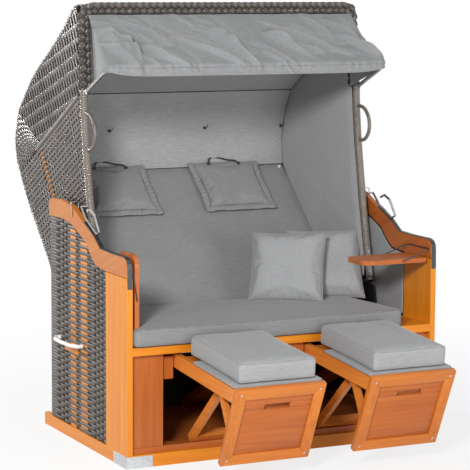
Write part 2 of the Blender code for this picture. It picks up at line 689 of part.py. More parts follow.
def make_hood():
    """Woven shell, posts, braid, lining and pivot bolts."""
    outer_path = hood_line(HOOD_SHARES)
    shell = outer_path + hood_inner_path(0)[::-1]
    back = side_plate("hood_back", shell, -HOOD_HALF, HOOD_HALF, WICKER)
    rounded(back, HOOD_EDGE_ROUNDING, 2).modifiers["bevel"].angle_limit = math.radians(60)

    front_edge = hood_front_edge(2 * FIT)
    side_outline = hood_line(SIDE_LOW_SHARES) + front_edge[1:]
    side_outline += hood_inner_path(FIT)
    lining_path = hood_line(LINING_SHARES)
    lining_outline = lining_path + hood_line(LINING_LOW_SHARES) + front_edge[1:]
    lining = as_mesh(side_plate("hood_lining", lining_outline, -LINING_HALF, LINING_HALF, FABRIC))
    room = offset_path(lining_path, -HOOD_LINING)
    room += hood_line(LINING_CUT_SHARES)
    boolean(lining, as_mesh(side_plate("lining_room", room, -LINING_INNER, LINING_INNER, FABRIC)),
            "DIFFERENCE")

    braid_points = []
    braid_depth = behind(BRAID_TOP_DEPTH)
    corner = BRAID_CORNER * 0.3
    for side in (-1, 1):
        leg = [(side * BRAID_PLACE, behind(BRAID_LOW_DEPTH), BRAID_LOW),
               (side * BRAID_PLACE, braid_depth, BRAID_TOP - BRAID_CORNER),
               (side * (BRAID_PLACE - corner), braid_depth, BRAID_TOP - corner),
               (side * (BRAID_PLACE - BRAID_CORNER), braid_depth, BRAID_TOP)]
        braid_points += leg if side < 0 else leg[::-1]
    tube("front_braid", braid_points, BRAID_RADIUS, WICKER)

    for word, side in SIDES:
        low, high = mirrored_span(side, HOOD_SIDE_INNER, HOOD_HALF)
        side_plate(f"hood_side_{word}", side_outline, low, high, WICKER)
        post = [(side * POST_PLACE, y, z) for y, z in hood_line(POST_SHARES)]
        pole = as_mesh(tube(f"hood_post_{word}", post, POST_RADIUS, WICKER, 4))
        inner = AWNING_HALF - AWNING_RADIUS - FIT
        low, high = mirrored_span(side, inner - AWNING_LUG, inner)
        foot = AWNING_PIVOT_HEIGHT - AWNING_LUG_HEIGHT / 2
        lug = block("awning_lug", (low, behind(AWNING_PIVOT_DEPTH - AWNING_RADIUS), foot),
                    (high, behind(AWNING_PIVOT_DEPTH + 2 * AWNING_RADIUS), foot + AWNING_LUG_HEIGHT), ZINC)
        boolean(pole, lug, "UNION")
        make_strap_handle(word, side)
        make_pivot_bolt(word, side)
        make_lever(word, side)


def read_between(points, value):
    """The second number of a list of pairs, read at a value of the first."""
    points = sorted(points)
    for (a0, b0), (a1, b1) in zip(points, points[1:]):
        if a0 <= value <= a1:
            return b0 + (b1 - b0) * (value - a0) / (a1 - a0)
    return points[-1][1]


def post_front(height):
    """Y of a post's front edge at a height."""
    points = hood_line(POST_SHARES)
    return read_between([(z, y) for y, z in points], height) - POST_RADIUS


def make_strap_handle(word, side):
    """A loop handle in front of one post."""
    start = BRAID_LOW - STRAP_BELOW_BRAID
    top, low = post_front(start) - FIT, post_front(start - STRAP_SPAN) - FIT
    shares = [(0.02, 0.00), (0.55, 0.07), (0.88, 0.24), (1.0, 0.45), (0.94, 0.68), (0.65, 0.90),
              (0.02, 1.00)]
    points = [(side * POST_PLACE, top + (low - top) * fall - STRAP_REACH * reach, start - STRAP_SPAN * fall)
              for reach, fall in shares]
    tube(f"strap_handle_{word}", points, STRAP_RADIUS, DARK_METAL, 1)


def make_pivot_bolt(word, side):
    """A bolt and washer that fills the slot between base side and hood side."""
    length = INNER - HOOD_HALF - 2 * FIT
    profile = [(0, length), (PIVOT_WASHER_RADIUS, length), (PIVOT_WASHER_RADIUS, length - PIVOT_WASHER),
               (PIVOT_BOLT_RADIUS, length - PIVOT_WASHER), (PIVOT_BOLT_RADIUS, 0), (0, 0)]
    bolt = turned(f"pivot_bolt_{word}", profile, ZINC)
    bolt.location = (side * (HOOD_HALF + FIT), behind(PIVOT_DEPTH), PIVOT_HEIGHT)
    bolt.rotation_euler = (0, side * math.pi / 2, 0)


def make_lever(word, side):
    """A bent bar whose pin sits on the post and whose hand grip lies on the rack."""
    arm = scaled(ARM_TOP_SHARES[:-1], BASE_DEPTH, ARM_HEIGHT)
    depth = behind(LEVER_DEPTH)
    bar = [Vector((HOOD_HALF + FIT, depth, read_between(arm, depth) + LEVER_ABOVE_ARM))]
    for a, b in LEVER_SHARES:
        y = depth - a * LEVER_REACH
        bar.append(Vector((LEVER_PLACE, y, read_between(arm, y) + b * LEVER_REACH)))
    tube(f"lock_lever_{word}", [(side * x, y, z) for x, y, z in bar], LEVER_RADIUS, ZINC, 1)


def backrest_frame():
    """The foot of the backrest's front face, and the unit vectors up it and out of it."""
    foot, top = [Vector((0, y, z)) for y, z in hood_line(BACKREST_SHARES)]
    up = (top - foot).normalized()
    return foot, up, Vector((0, -up.z, up.y)), (top - foot).length


def make_backrest():
    """Upholstered backrest with its two neck cushions."""
    half = LINING_INNER - FIT
    foot, up, out, length = backrest_frame()
    slope = math.atan2(up.z, up.y)
    rest = block("backrest", (-half, -length / 2, -BACKREST_THICKNESS / 2),
                 (half, length / 2, BACKREST_THICKNESS / 2), FABRIC, BACKREST_ROUNDING)
    rest.location = foot + up * length / 2 - out * BACKREST_THICKNESS / 2
    rest.rotation_euler = (slope, 0, 0)
    for word, side in SIDES:
        neck = cushion(f"neck_cushion_{word}", (NECK_WIDTH, NECK_LENGTH, NECK_THICKNESS), PALE_FABRIC,
                       0.2, 0.04, PILLOW_CUT_SHARES, 1)
        neck.location = foot + up * (length - NECK_BELOW_TOP) + out * NECK_THICKNESS / 2
        neck.location.x = side * NECK_PLACE
        neck.rotation_euler = (slope, 0, 0)
        settle(neck, rest, -out)


def make_awning():
    """Bow and the cloth that it holds out."""
    tip_depth = AWNING_PIVOT_DEPTH - AWNING_REACH
    tip_height = AWNING_PIVOT_HEIGHT + AWNING_RISE
    turn_share = 1 - AWNING_CORNER / AWNING_REACH
    turn_depth = AWNING_PIVOT_DEPTH - AWNING_REACH * turn_share
    turn_height = AWNING_PIVOT_HEIGHT + AWNING_RISE * turn_share
    leg = [(AWNING_HALF, AWNING_PIVOT_DEPTH, AWNING_PIVOT_HEIGHT), (AWNING_HALF, turn_depth, turn_height),
           (AWNING_HALF - AWNING_CORNER * 0.3, (turn_depth + tip_depth * 3) / 4,
            (turn_height + tip_height * 3) / 4),
           (AWNING_HALF - AWNING_CORNER, tip_depth, tip_height)]
    points = [(-x, behind(d), z) for x, d, z in leg] + [(x, behind(d), z) for x, d, z in leg[::-1]]
    tube("awning_bow", points, AWNING_RADIUS, DARK_METAL)

    clear = AWNING_RADIUS + AWNING_CLOTH
    top = Vector((behind(BRAID_TOP_DEPTH) - BRAID_RADIUS / 2, BRAID_TOP - BRAID_RADIUS - AWNING_CLOTH))
    over = Vector((behind(tip_depth) - clear, tip_height + clear / 2))
    hem = Vector((behind(tip_depth) - clear - AWNING_CLOTH, tip_height - AWNING_HEM))
    cheek_top = top - Vector((0, AWNING_CLOTH))
    cheek_low = Vector((behind(BRAID_LOW_DEPTH) - BRAID_RADIUS / 2, AWNING_PIVOT_HEIGHT + AWNING_HEM))
    low_half = AWNING_HALF + clear
    cheek_half = BRAID_PLACE - BRAID_RADIUS - AWNING_CLOTH
    bow_share, main_share, edge_share = 0.875, 0.9, 0.06
    fold_count = 7

    def leg_top(y):
        """Lowest height at which the cloth clears the bow's legs."""
        return AWNING_PIVOT_HEIGHT + AWNING_RISE * (behind(AWNING_PIVOT_DEPTH) - y) / AWNING_REACH + clear

    def awning_point(u, v):
        """A place on the cloth: u across from -1 to 1, v down from 0 to 1."""
        across = max(-1.0, min(1.0, u / main_share))
        down = min(1.0, v / bow_share)
        hung = max(0.0, v - bow_share) / (1 - bow_share) * (1 - across ** 6)
        spot = top.lerp(over, down).lerp(hem, hung)
        x = across * (AWNING_TOP_HALF + (low_half - AWNING_TOP_HALF) * down)
        hang = math.sin(math.pi * down)
        spot.y -= AWNING_SAG * hang
        spot.y += AWNING_FOLD * hang * math.sin(fold_count * math.pi * (across + down / 2))
        if abs(u) > main_share:
            share = (abs(u) - main_share) / (1 - main_share)
            spot = spot.lerp(cheek_top.lerp(cheek_low, v), share)
            x = x * (1 - share) + math.copysign(cheek_half, u) * share
        if abs(u) > main_share - edge_share:
            spot.y = max(spot.y, leg_top(spot.x))
        return (x, spot.x, spot.y)

    mesh = bpy.data.meshes.new("awning_cloth")
    form = bmesh.new()
    bmesh.ops.create_grid(form, x_segments=40, y_segments=8, size=1.0)
    for vert in form.verts:
        vert.co = awning_point(vert.co.x, (1 - vert.co.y) / 2)
    form.to_mesh(mesh)
    form.free()
    cloth = bpy.data.objects.new("awning_cloth", mesh)
    skin = cloth.modifiers.new("skin", "SOLIDIFY")
    skin.thickness = AWNING_CLOTH
    skin.offset = 0.0
    place(cloth, PALE_FABRIC)


def leaf_outline():
    """Plan of a table leaf: its wall end at the origin, its free end rounded."""
    half = (LEAF_REAR - LEAF_FRONT) / 2
    points = [(0, -half), (LEAF_LENGTH - LEAF_CORNER, -half)]
    steps = 6
    for centre, start in ((-half + LEAF_CORNER, -math.pi / 2), (half - LEAF_CORNER, 0)):
        for step in range(steps + 1):
            angle = start + math.pi / 2 * step / steps
            points.append((LEAF_LENGTH - LEAF_CORNER + LEAF_CORNER * math.cos(angle),
                           centre + LEAF_CORNER * math.sin(angle)))
    return points + [(0, half)]


def make_tables():
    """A wire bow on each side board and the leaf that it carries."""
    for word, side in SIDES:
        angle, tip_angle = (BOW_OPEN, math.pi / 2) if side > 0 else (BOW_FOLDED, 0.0)
        wall = INNER - BOW_RADIUS - FIT
        pin_x = wall - BOW_LENGTH * math.sin(angle)
        pin_z = BOW_HEIGHT - BOW_LENGTH * math.cos(angle)
        depths = (LEAF_FRONT, LEAF_FRONT - FIT - BOW_RADIUS, LEAF_REAR + FIT + BOW_RADIUS, LEAF_REAR)
        points = [(side * pin_x, behind(depths[1]), pin_z), (side * wall, behind(depths[1]), BOW_HEIGHT),
                  (side * wall, behind(depths[2]), BOW_HEIGHT), (side * pin_x, behind(depths[2]), pin_z)]
        tube(f"table_bow_{word}", eased(points, BOW_CORNER), BOW_RADIUS, DARK_METAL)
        leaf = outline_curve(f"table_leaf_{word}", leaf_outline(), LEAF_THICKNESS)
        along = Vector((-side * math.sin(tip_angle), 0, math.cos(tip_angle)))
        across = Vector((0, 1, 0))
        normal = along.cross(across)
        root = Vector((side * pin_x, behind((LEAF_FRONT + LEAF_REAR) / 2), pin_z)) - along * LEAF_HINGE
        leaf.matrix_world = Matrix((along, across, normal)).transposed().to_4x4()
        leaf.location = root
        place(leaf, RED_WOOD)


def rail_frame():
    """Unit vectors along and off a drawn-out footrest's rails, in the side view."""
    along = Vector((math.cos(FOOT_SLOPE), math.sin(FOOT_SLOPE)))
    return along, Vector((-along.y, along.x))


def axle_path():
    """Depth and height of the axle when drawn out, its depth at home and the slope between."""
    along, off = rail_frame()
    out = Vector((-FOOT_REACH, FOOT_HEIGHT)) + along * AXLE_ALONG - off * AXLE_BELOW
    angle = FOOT_SLOPE - FOOT_PANEL_TILT
    along_in = Vector((math.cos(angle), math.sin(angle)))
    off_in = Vector((-along_in.y, along_in.x))
    home = Vector((FOOT_STOWED_SET_BACK, FOOT_STOWED_HEIGHT))
    home += along_in * AXLE_ALONG - off_in * AXLE_BELOW
    slope = math.atan2(out.y - home.y, home.x - out.x)
    return out.x, out.y, home.x, slope


def panel_point(down, back):
    """A place in the rails' side view: so far down the front panel and behind its front face."""
    angle = FOOT_PANEL_TILT - FOOT_SLOPE
    return (math.sin(angle) * down + math.cos(angle) * back,
            -math.cos(angle) * down + math.sin(angle) * back)


def rail_start():
    """Distance along the rails at which their top edge meets the back of the front panel."""
    corner = panel_point(0, FOOT_PANEL_THICKNESS + FIT)
    return corner[0] + corner[1] * math.tan(FOOT_PANEL_TILT - FOOT_SLOPE)


def make_frame_mesh():
    """Rails, slats and braces of a footrest, in the rails' own view."""
    back = FOOT_PANEL_THICKNESS + FIT
    lean = math.tan(FOOT_PANEL_TILT - FOOT_SLOPE)
    start = rail_start()
    rail = [(start, 0), (RAIL_LENGTH, 0), (RAIL_LENGTH, -RAIL_HEIGHT),
            (start + RAIL_HEIGHT * lean, -RAIL_HEIGHT)]
    inner = RAIL_HALF - RAIL_THICKNESS
    frame = as_mesh(side_plate("footrest_frame", rail, -RAIL_HALF, -inner, BRIGHT_WOOD))
    pieces = [as_mesh(side_plate("rail_other", rail, inner, RAIL_HALF, BRIGHT_WOOD))]
    for near, far in SLAT_SHARES:
        pieces.append(block("slat", (-inner - FIT, near * RAIL_LENGTH, -SLAT_THICKNESS),
                            (inner + FIT, far * RAIL_LENGTH, -FIT), RED_WOOD))
    top = (BRACE_ALONG, -BRACE_BELOW)
    bottom = panel_point(BRACE_DOWN, back)
    for side in (-1, 1):
        low, high = mirrored_span(side, inner - BRACE_THICKNESS, inner + FIT)
        pieces.append(as_mesh(side_plate("brace", brace_outline(top, bottom), low, high, RED_WOOD)))
    for piece in pieces:
        boolean(frame, piece, "UNION")
    reach = RAIL_HALF + OVERRUN
    hole = tube("axle_hole", [(-reach, AXLE_ALONG, -AXLE_BELOW), (reach, AXLE_ALONG, -AXLE_BELOW)],
                AXLE_RADIUS + 3 * FIT, ZINC, 3)
    boolean(frame, as_mesh(hole), "DIFFERENCE")
    return at_origin(frame)


def brace_outline(top, bottom):
    """A brace that meets the back of the panel flat."""
    width = BRACE_WIDTH / 2
    angle = FOOT_PANEL_TILT - FOOT_SLOPE
    down = Vector((math.sin(angle), -math.cos(angle)))
    a, b = Vector(top), Vector(bottom)
    along = (b - a).normalized()
    off = Vector((-along.y, along.x)) * width
    reach = width / abs(along.cross(down)) if along.cross(down) else width
    return [tuple(a + off), tuple(a - off), tuple(b - down * reach), tuple(b + down * reach)]


def make_panel_mesh():
    """Front panel with its raised border and grip slot, hanging down from the origin."""
    half = FOOT_PANEL_WIDTH / 2
    panel = block("footrest_panel", (-half, 0, -FOOT_PANEL_LENGTH), (half, FOOT_PANEL_THICKNESS, 0),
                  RED_WOOD)
    recess = block("recess", (-half + FOOT_PANEL_BORDER, -OVERRUN, -FOOT_PANEL_LENGTH + FOOT_PANEL_BORDER),
                   (half - FOOT_PANEL_BORDER, FOOT_PANEL_RECESS, -FOOT_PANEL_BORDER), RED_WOOD)
    slot = block("grip", (-GRIP_WIDTH / 2, -OVERRUN, -GRIP_BELOW_TOP - GRIP_HEIGHT),
                 (GRIP_WIDTH / 2, FOOT_PANEL_THICKNESS + OVERRUN, -GRIP_BELOW_TOP), RED_WOOD)
    boolean(panel, recess, "DIFFERENCE")
    boolean(panel, slot, "DIFFERENCE")
    return at_origin(panel)


def strut_place():
    """Length of a strut and its angle below the rails, so that its foot stands on the ledge."""
    along, off = rail_frame()
    pin = Vector((-FOOT_REACH, FOOT_HEIGHT)) + along * STRUT_ALONG - off * STRUT_BELOW
    foot = Vector((STRUT_FOOT_DEPTH, LEDGE_TOP + FIT))
    for _ in range(20):
        line = (foot - pin).normalized()
        foot.y = LEDGE_TOP + 2 * FIT + STRUT_WIDTH / 2 * line.x
    return (foot - pin).length, math.atan2(pin.y - foot.y, foot.x - pin.x) + FOOT_SLOPE


def make_strut_mesh():
    """Two struts on a rod, joined at their feet, in the view of the strut's own length."""
    length, _ = strut_place()
    near = -STRUT_WIDTH / 2
    half = STRUT_WIDTH / 2
    inner = STRUT_HALF - STRUT_THICKNESS
    frame = block("footrest_strut", (-STRUT_HALF, near, -half), (-inner, length, half), BRIGHT_WOOD)
    pieces = [block("strut_other", (inner, near, -half), (STRUT_HALF, length, half), BRIGHT_WOOD),
              block("strut_foot", (-inner - FIT, length - STRUT_WIDTH, -half + FIT),
                    (inner + FIT, length - FIT, half - FIT), BRIGHT_WOOD)]
    rod_half = RAIL_HALF - RAIL_THICKNESS - FIT
    rod = tube("strut_rod", [(-rod_half, 0, 0), (rod_half, 0, 0)], STRUT_ROD_RADIUS, ZINC)
    pieces.append(as_mesh(rod))
    for piece in pieces:
        boolean(frame, piece, "UNION")
    return at_origin(frame)


def copy_of(source, name, parent, location, tilt=0.0):
    """A piece that shares a mesh, carried by a parent."""
    obj = bpy.data.objects.new(name, source.data)
    MODEL.objects.link(obj)
    obj.parent = parent
    obj.location = location
    obj.rotation_euler = (tilt, 0, 0)
    return obj


def make_footrests():
    """Two alike footrests, each on an empty at its axle."""
    frame, panel, strut = make_frame_mesh(), make_panel_mesh(), make_strut_mesh()
    length, strut_angle = strut_place()
    axle_depth, axle_height = axle_path()[:2]
    half = FOOT_CUSHION_WIDTH / 2
    for word, side in SIDES:
        holder = bpy.data.objects.new(f"footrest_turn_{word}", None)
        MODEL.objects.link(holder)
        holder.location = (side * FOOT_CENTRE, behind(axle_depth), axle_height)
        holder.rotation_euler = (FOOT_SLOPE, 0, 0)
        home = Vector((0, -AXLE_ALONG, AXLE_BELOW))
        copy_of(frame, f"footrest_frame_{word}", holder, home)
        copy_of(panel, f"footrest_panel_{word}", holder, home, FOOT_PANEL_TILT - FOOT_SLOPE)
        pin = home + Vector((0, STRUT_ALONG, -STRUT_BELOW))
        copy_of(strut, f"footrest_strut_{word}", holder, pin, -strut_angle)
        start = rail_start() + FIT
        pad = block(f"footrest_pad_{word}", (-RAIL_HALF, start, FIT),
                    (RAIL_HALF, start + PAD_LENGTH, PAD_THICKNESS), PALE_FABRIC, PAD_THICKNESS / 3)
        pad.parent = holder
        pad.location += home
        soft = cushion(f"footrest_cushion_{word}", (2 * half, FOOT_CUSHION_LENGTH, FOOT_CUSHION_HEIGHT),
                       FABRIC, 0.9, 0.01, BOX_CUT_SHARES, 1)
        soft.parent = holder
        soft.location = home + Vector((0, FOOT_CUSHION_START + FOOT_CUSHION_LENGTH / 2,
                                       PAD_THICKNESS + FIT + FOOT_CUSHION_HEIGHT / 2))
        settle(soft, pad, Vector((0, math.sin(FOOT_SLOPE), -math.cos(FOOT_SLOPE))))
        axle = [(side * FOOT_CENTRE - AXLE_HALF, behind(axle_depth), axle_height),
                (side * FOOT_CENTRE + AXLE_HALF, behind(axle_depth), axle_height)]
        tube(f"footrest_axle_{word}", axle, AXLE_RADIUS, ZINC, 3)
    for source in (frame, panel, strut):
        bpy.data.objects.remove(source, do_unlink=True)


make_base_sides()
make_base_middle()
make_front_panels()
make_throw_pillows(make_seat())
make_hood()
make_backrest()
make_awning()
make_tables()
make_footrests()
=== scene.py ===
"""Looks of the hooded beach chair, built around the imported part.

Metres, +Z up, -Y the front. Side view places are depths behind the base's front face and heights.
"""
import math

import bmesh
import bpy
import numpy as np
from mathutils import Matrix, Vector


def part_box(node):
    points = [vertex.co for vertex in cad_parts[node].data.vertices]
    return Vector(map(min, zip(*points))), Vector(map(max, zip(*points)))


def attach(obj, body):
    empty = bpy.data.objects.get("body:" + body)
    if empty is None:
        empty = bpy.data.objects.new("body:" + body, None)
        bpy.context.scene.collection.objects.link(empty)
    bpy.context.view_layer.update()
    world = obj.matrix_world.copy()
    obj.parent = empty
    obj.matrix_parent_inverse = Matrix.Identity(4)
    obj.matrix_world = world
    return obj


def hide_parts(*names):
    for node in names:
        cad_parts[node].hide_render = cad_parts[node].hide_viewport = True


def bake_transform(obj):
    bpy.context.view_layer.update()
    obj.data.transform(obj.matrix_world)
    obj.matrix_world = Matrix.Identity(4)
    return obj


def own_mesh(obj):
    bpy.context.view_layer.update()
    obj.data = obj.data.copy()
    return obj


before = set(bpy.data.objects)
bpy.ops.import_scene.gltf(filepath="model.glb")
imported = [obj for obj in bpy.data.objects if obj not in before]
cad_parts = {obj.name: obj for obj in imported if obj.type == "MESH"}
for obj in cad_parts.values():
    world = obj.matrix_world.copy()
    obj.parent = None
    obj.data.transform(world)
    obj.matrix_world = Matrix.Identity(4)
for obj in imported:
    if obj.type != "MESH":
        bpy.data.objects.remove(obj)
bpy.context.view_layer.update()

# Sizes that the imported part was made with
BASE_HALF = 0.625
BASE_DEPTH = 0.745
BOARD = 0.022
FRONT = -BASE_DEPTH / 2
SILL_TOP = 0.045
FRONT_BOARD_DEPTH = 0.190
ARM_HEIGHT = 0.882
REAR_PANEL_TOP = 0.430
HOOD_HALF = 0.586
HOOD_REACH = 1.224
HOOD_HEIGHT = 1.608
HOOD_ROUNDING = 0.020
HOOD_FLAT = HOOD_HALF - HOOD_ROUNDING
POST_RADIUS = 0.020
WOUND_RADIUS = 0.0150
WOUND_PLACE = 0.5712
BRAID_RADIUS = 0.025
BRAID_PLACE = HOOD_HALF - BRAID_RADIUS
BRAID_FOOT_DEPTH, BRAID_DEPTH = 0.5215, 0.547
BRAID_FOOT, BRAID_LEG_TOP = 1.290, 1.555
BRAID_TURN = 0.034
POST_TOP = 1.298
SIDES = (("left", -1), ("right", 1))

ARM_LOW_SHARES = [(1.000, 0.920), (0.805, 0.922), (0.703, 0.910), (0.584, 0.878), (0.499, 0.848),
                  (0.446, 0.806), (0.383, 0.771), (0.256, 0.762)]
HOOD_SHARES = [(0.456, 0.9975), (0.479, 0.996), (0.500, 0.987), (0.552, 0.955), (0.667, 0.900),
               (0.799, 0.843), (0.866, 0.807), (0.909, 0.777), (0.966, 0.738), (0.991, 0.693),
               (1.000, 0.651), (0.984, 0.604), (0.943, 0.562), (0.876, 0.501), (0.809, 0.455),
               (0.703, 0.380), (0.625, 0.308), (0.588, 0.277), (0.556, 0.249)]
POST_SHARES = [(0.319, 0.336), (0.333, 0.384), (0.377, 0.541), (0.408, 0.670), (0.422, 0.756),
               (0.425, 0.805)]
LINING_SHARES = [(0.472, 0.961), (0.847, 0.777), (0.889, 0.719), (0.913, 0.653), (0.908, 0.580)]
LINING_LOW_SHARES = [(0.886, 0.563), (0.507, 0.258), (0.408, 0.292), (0.342, 0.348)]
SIDE_LOW_SHARES = [(0.549, 0.187), (0.462, 0.187), (0.288, 0.280), (0.303, 0.327), (0.341, 0.327)]
BACKREST_SHARES = [(0.4533, 0.2738), (0.8982, 0.5736)]

# The photograph's camera
CAMERA_PLACE = (-3.3206, FRONT - 6.3004, 1.7269)
CAMERA_LENS = 153.785
CAMERA_YAW = 0.458596
CAMERA_PITCH = 0.130624
CAMERA_ROLL = 0.006146

# Woven strands
COURSE = 0.0117
STRAND_WIDTH = 0.0124
HOOD_STRAND_WIDTH = 0.0118
STRAND_THICKNESS = 0.0032
WEAVE_DEPTH = 0.0052
WEAVE_SWING = 0.0032
HOOD_SWING = 0.0036
SLAT_THICKNESS = 0.0028
HOOD_SIDE_X = HOOD_HALF - WEAVE_DEPTH


# Geometry


def behind(depth):
    """Y of a place that lies so far behind the base's front face."""
    return FRONT + depth


def scaled(shares, depth, height):
    """Depths and heights from shares."""
    return np.array([(a * depth, b * height) for a, b in shares])


def hood_places(shares):
    """Side view places of the hood from shares of its reach and height."""
    return scaled(shares, HOOD_REACH, HOOD_HEIGHT)


def unit(vectors):
    """Rows of an array made one long."""
    return vectors / np.maximum(np.linalg.norm(vectors, axis=-1, keepdims=True), 1e-12)


def smooth_path(points, step):
    """A smooth line through the points, at an even step."""
    points = np.asarray(points, float)
    ends = [2 * points[0] - points[1], *points, 2 * points[-1] - points[-2]]
    dense = []
    for p0, p1, p2, p3 in zip(ends, ends[1:], ends[2:], ends[3:]):
        for t in np.linspace(0, 1, 12, endpoint=False):
            dense.append(0.5 * (2 * p1 + (p2 - p0) * t + (2 * p0 - 5 * p1 + 4 * p2 - p3) * t * t
                                + (3 * p1 - p0 - 3 * p2 + p3) * t ** 3))
    return even_path(np.array(dense + [points[-1]]), step)


def even_path(points, step):
    """The same line with its points at an even step."""
    points = np.asarray(points, float)
    run = run_of(points)
    count = max(2, int(round(run[-1] / step)) + 1)
    return along(points, run, np.linspace(0, run[-1], count))


def along(line, run, places):
    """Points of a line at distances along it."""
    return np.stack([np.interp(places, run, line[:, k]) for k in range(line.shape[1])], axis=-1)


def at_x(x, line):
    """Places in space of a side view line's depths and heights, at one X or at one for each."""
    return np.stack([np.broadcast_to(x, len(line)), behind(line[:, 0]), line[:, 1]], axis=1)


def flat_section(half, thick):
    """Cross-section of a flat strip, from half its width and half its thickness."""
    return [(-half, -thick), (-half, thick), (half, thick), (half, -thick)]


def tube_faces(rows, sides, closed=False):
    """Faces round a tube of so many rings, with its two ends unless it is closed."""
    i = np.arange(rows if closed else rows - 1)[:, None] * sides
    j = np.arange(sides)[None, :]
    after, turned = (i + sides) % (rows * sides), (j + 1) % sides
    faces = np.stack([i + j, i + turned, after + turned, after + j], axis=2).reshape(-1, 4).tolist()
    if not closed:
        faces += [list(range(sides))[::-1], [(rows - 1) * sides + m for m in range(sides)]]
    return faces


def run_of(points):
    """Distance along a line at each of its points."""
    return np.concatenate([[0], np.cumsum(np.linalg.norm(np.diff(points, axis=0), axis=1))])


def put(name, data):
    """A new object in the scene."""
    obj = bpy.data.objects.new(name, data)
    bpy.context.scene.collection.objects.link(obj)
    return obj


class Form:
    """Points and faces gathered into one mesh."""

    def __init__(self):
        self.points, self.faces, self.looks, self.count = [], [], [], 0

    def add(self, points, faces, look=0):
        """Adds points and the faces between them."""
        self.points.append(np.asarray(points, float).reshape(-1, 3))
        self.faces += [tuple(int(i) + self.count for i in face) for face in faces]
        self.looks += [look] * len(faces)
        self.count += len(self.points[-1])

    def sweep(self, centre, out, section, look=0, widths=None, closed=False):
        """A strip or tube along a line. The section's pairs are across and out."""
        centre, section = np.asarray(centre, float), np.asarray(section, float)
        if closed:
            tangent = unit(np.roll(centre, -1, axis=0) - np.roll(centre, 1, axis=0))
        else:
            tangent = unit(np.gradient(centre, axis=0))
        across = unit(np.cross(tangent, np.broadcast_to(out, centre.shape)))
        out = np.cross(across, tangent)
        widths = np.ones(len(centre)) if widths is None else np.asarray(widths)
        ring = (centre[:, None, :]
                + across[:, None, :] * section[None, :, 0, None] * widths[:, None, None]
                + out[:, None, :] * section[None, :, 1, None])
        self.add(ring, tube_faces(len(centre), len(section), closed), look)

    def tube(self, centre, radius, look=0, sides=8, closed=False):
        """A round bar along a line."""
        centre = np.asarray(centre, float)
        out = np.eye(3)[int(np.argmin(np.ptp(centre, axis=0)))]
        angles = np.linspace(2 * math.pi, 0, sides, endpoint=False)
        section = np.stack([np.cos(angles), np.sin(angles)], axis=1) * radius
        self.sweep(centre, out, section, look, None, closed)

    def box(self, low, high, look=0, rounding=0.0):
        """A block between two corners, with its edges eased if asked."""
        form = bmesh.new()
        bmesh.ops.create_cube(form, size=1.0)
        low, high = Vector(low), Vector(high)
        for vert in form.verts:
            vert.co = Vector([(a + b) / 2 + c * (b - a) for a, b, c in zip(low, high, vert.co)])
        if rounding:
            ease(form, rounding)
        self.take(form, look)

    def side_box(self, side, low, high, look=0, rounding=0.0):
        """A block between two corners of the right side, or of the left in its mirror."""
        ends = sorted((side * low[0], side * high[0]))
        self.box((ends[0], *low[1:]), (ends[1], *high[1:]), look, rounding)

    def plate(self, ring, shift, look=0):
        """A plate from the corners of one face and the way to the other."""
        near = np.asarray(ring, float)
        n = len(near)
        faces = [tuple(range(n)), tuple(range(n, 2 * n))[::-1]]
        faces += [(k, (k + 1) % n, (k + 1) % n + n, k + n) for k in range(n)]
        self.add(np.concatenate([near, near + shift]), faces, look)

    def round_piece(self, profile, look, turn, sides):
        """A turned piece about Z from pairs of radius and height, then moved into place."""
        angles = np.linspace(0, 2 * math.pi, sides, endpoint=False)
        points = np.array([(r * math.cos(a), r * math.sin(a), z) for r, z in profile for a in angles])
        points = points @ np.array(turn.to_3x3()).T + np.array(turn.translation)
        self.add(points, tube_faces(len(profile), sides), look)

    def take(self, form, look=0, turn=None):
        """Adds a bmesh and frees it."""
        form.verts.index_update()
        if turn is not None:
            bmesh.ops.transform(form, matrix=turn, verts=form.verts)
        faces = [[v.index for v in face.verts] for face in form.faces]
        self.add([vert.co[:] for vert in form.verts], faces, look)
        form.free()

    def make(self, name, looks, body, angle=None):
        """The gathered mesh as a piece that rides on a body."""
        mesh = bpy.data.meshes.new(name)
        mesh.from_pydata(np.concatenate(self.points).tolist(), [], self.faces)
        for look in looks:
            mesh.materials.append(look)
        mesh.polygons.foreach_set("material_index", self.looks)
        mesh.shade_smooth()
        if angle is not None:
            mesh.set_sharp_from_angle(angle=angle)
        mesh.update()
        obj = put(name, mesh)
        if body:
            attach(obj, body)
        return obj


def ease(form, offset):
    """Rounds every edge of a bmesh."""
    bmesh.ops.bevel(form, geom=form.edges[:], offset=offset, segments=2, profile=0.5, affect="EDGES")


HALF_ROUND = [(-0.5, -0.35), (-0.46, 0.20), (-0.22, 0.58), (0.22, 0.58), (0.46, 0.20), (0.5, -0.35)]


def strand_section(width=STRAND_WIDTH, thickness=STRAND_THICKNESS):
    """Cross-section of a half-round strand, out being positive."""
    return np.array([(a * width, b * thickness) for a, b in HALF_ROUND])


# Materials

WOOD_ROUGHNESS, CLOTH_ROUGHNESS = 0.36, 0.92
WOOD_WARMTH = (0.98, 0.80, 0.55)
DUST = (0.17, 0.15, 0.125, 1.0)
THREAD = 0.0016
THREAD_SCALE = 2 * math.pi / THREAD / 20 / 5


class Nodes:
    """A node tree while it is put together."""

    def __init__(self, tree):
        self.tree = tree

    def node(self, kind, inputs=None, **settings):
        """A new node with its inputs joined or set."""
        made = self.tree.nodes.new("ShaderNode" + kind)
        for key, value in settings.items():
            setattr(made, key, value)
        for key, value in (inputs or {}).items():
            self.link(value, made.inputs[key])
        return made

    def link(self, value, socket):
        """Joins a node's output to a socket, or sets the socket to a value."""
        if isinstance(value, bpy.types.NodeSocket):
            self.tree.links.new(value, socket)
        else:
            socket.default_value = value

    def op(self, kind, a, b):
        """Result of one sum of two values."""
        return self.node("Math", {0: a, 1: b}, operation=kind).outputs[0]


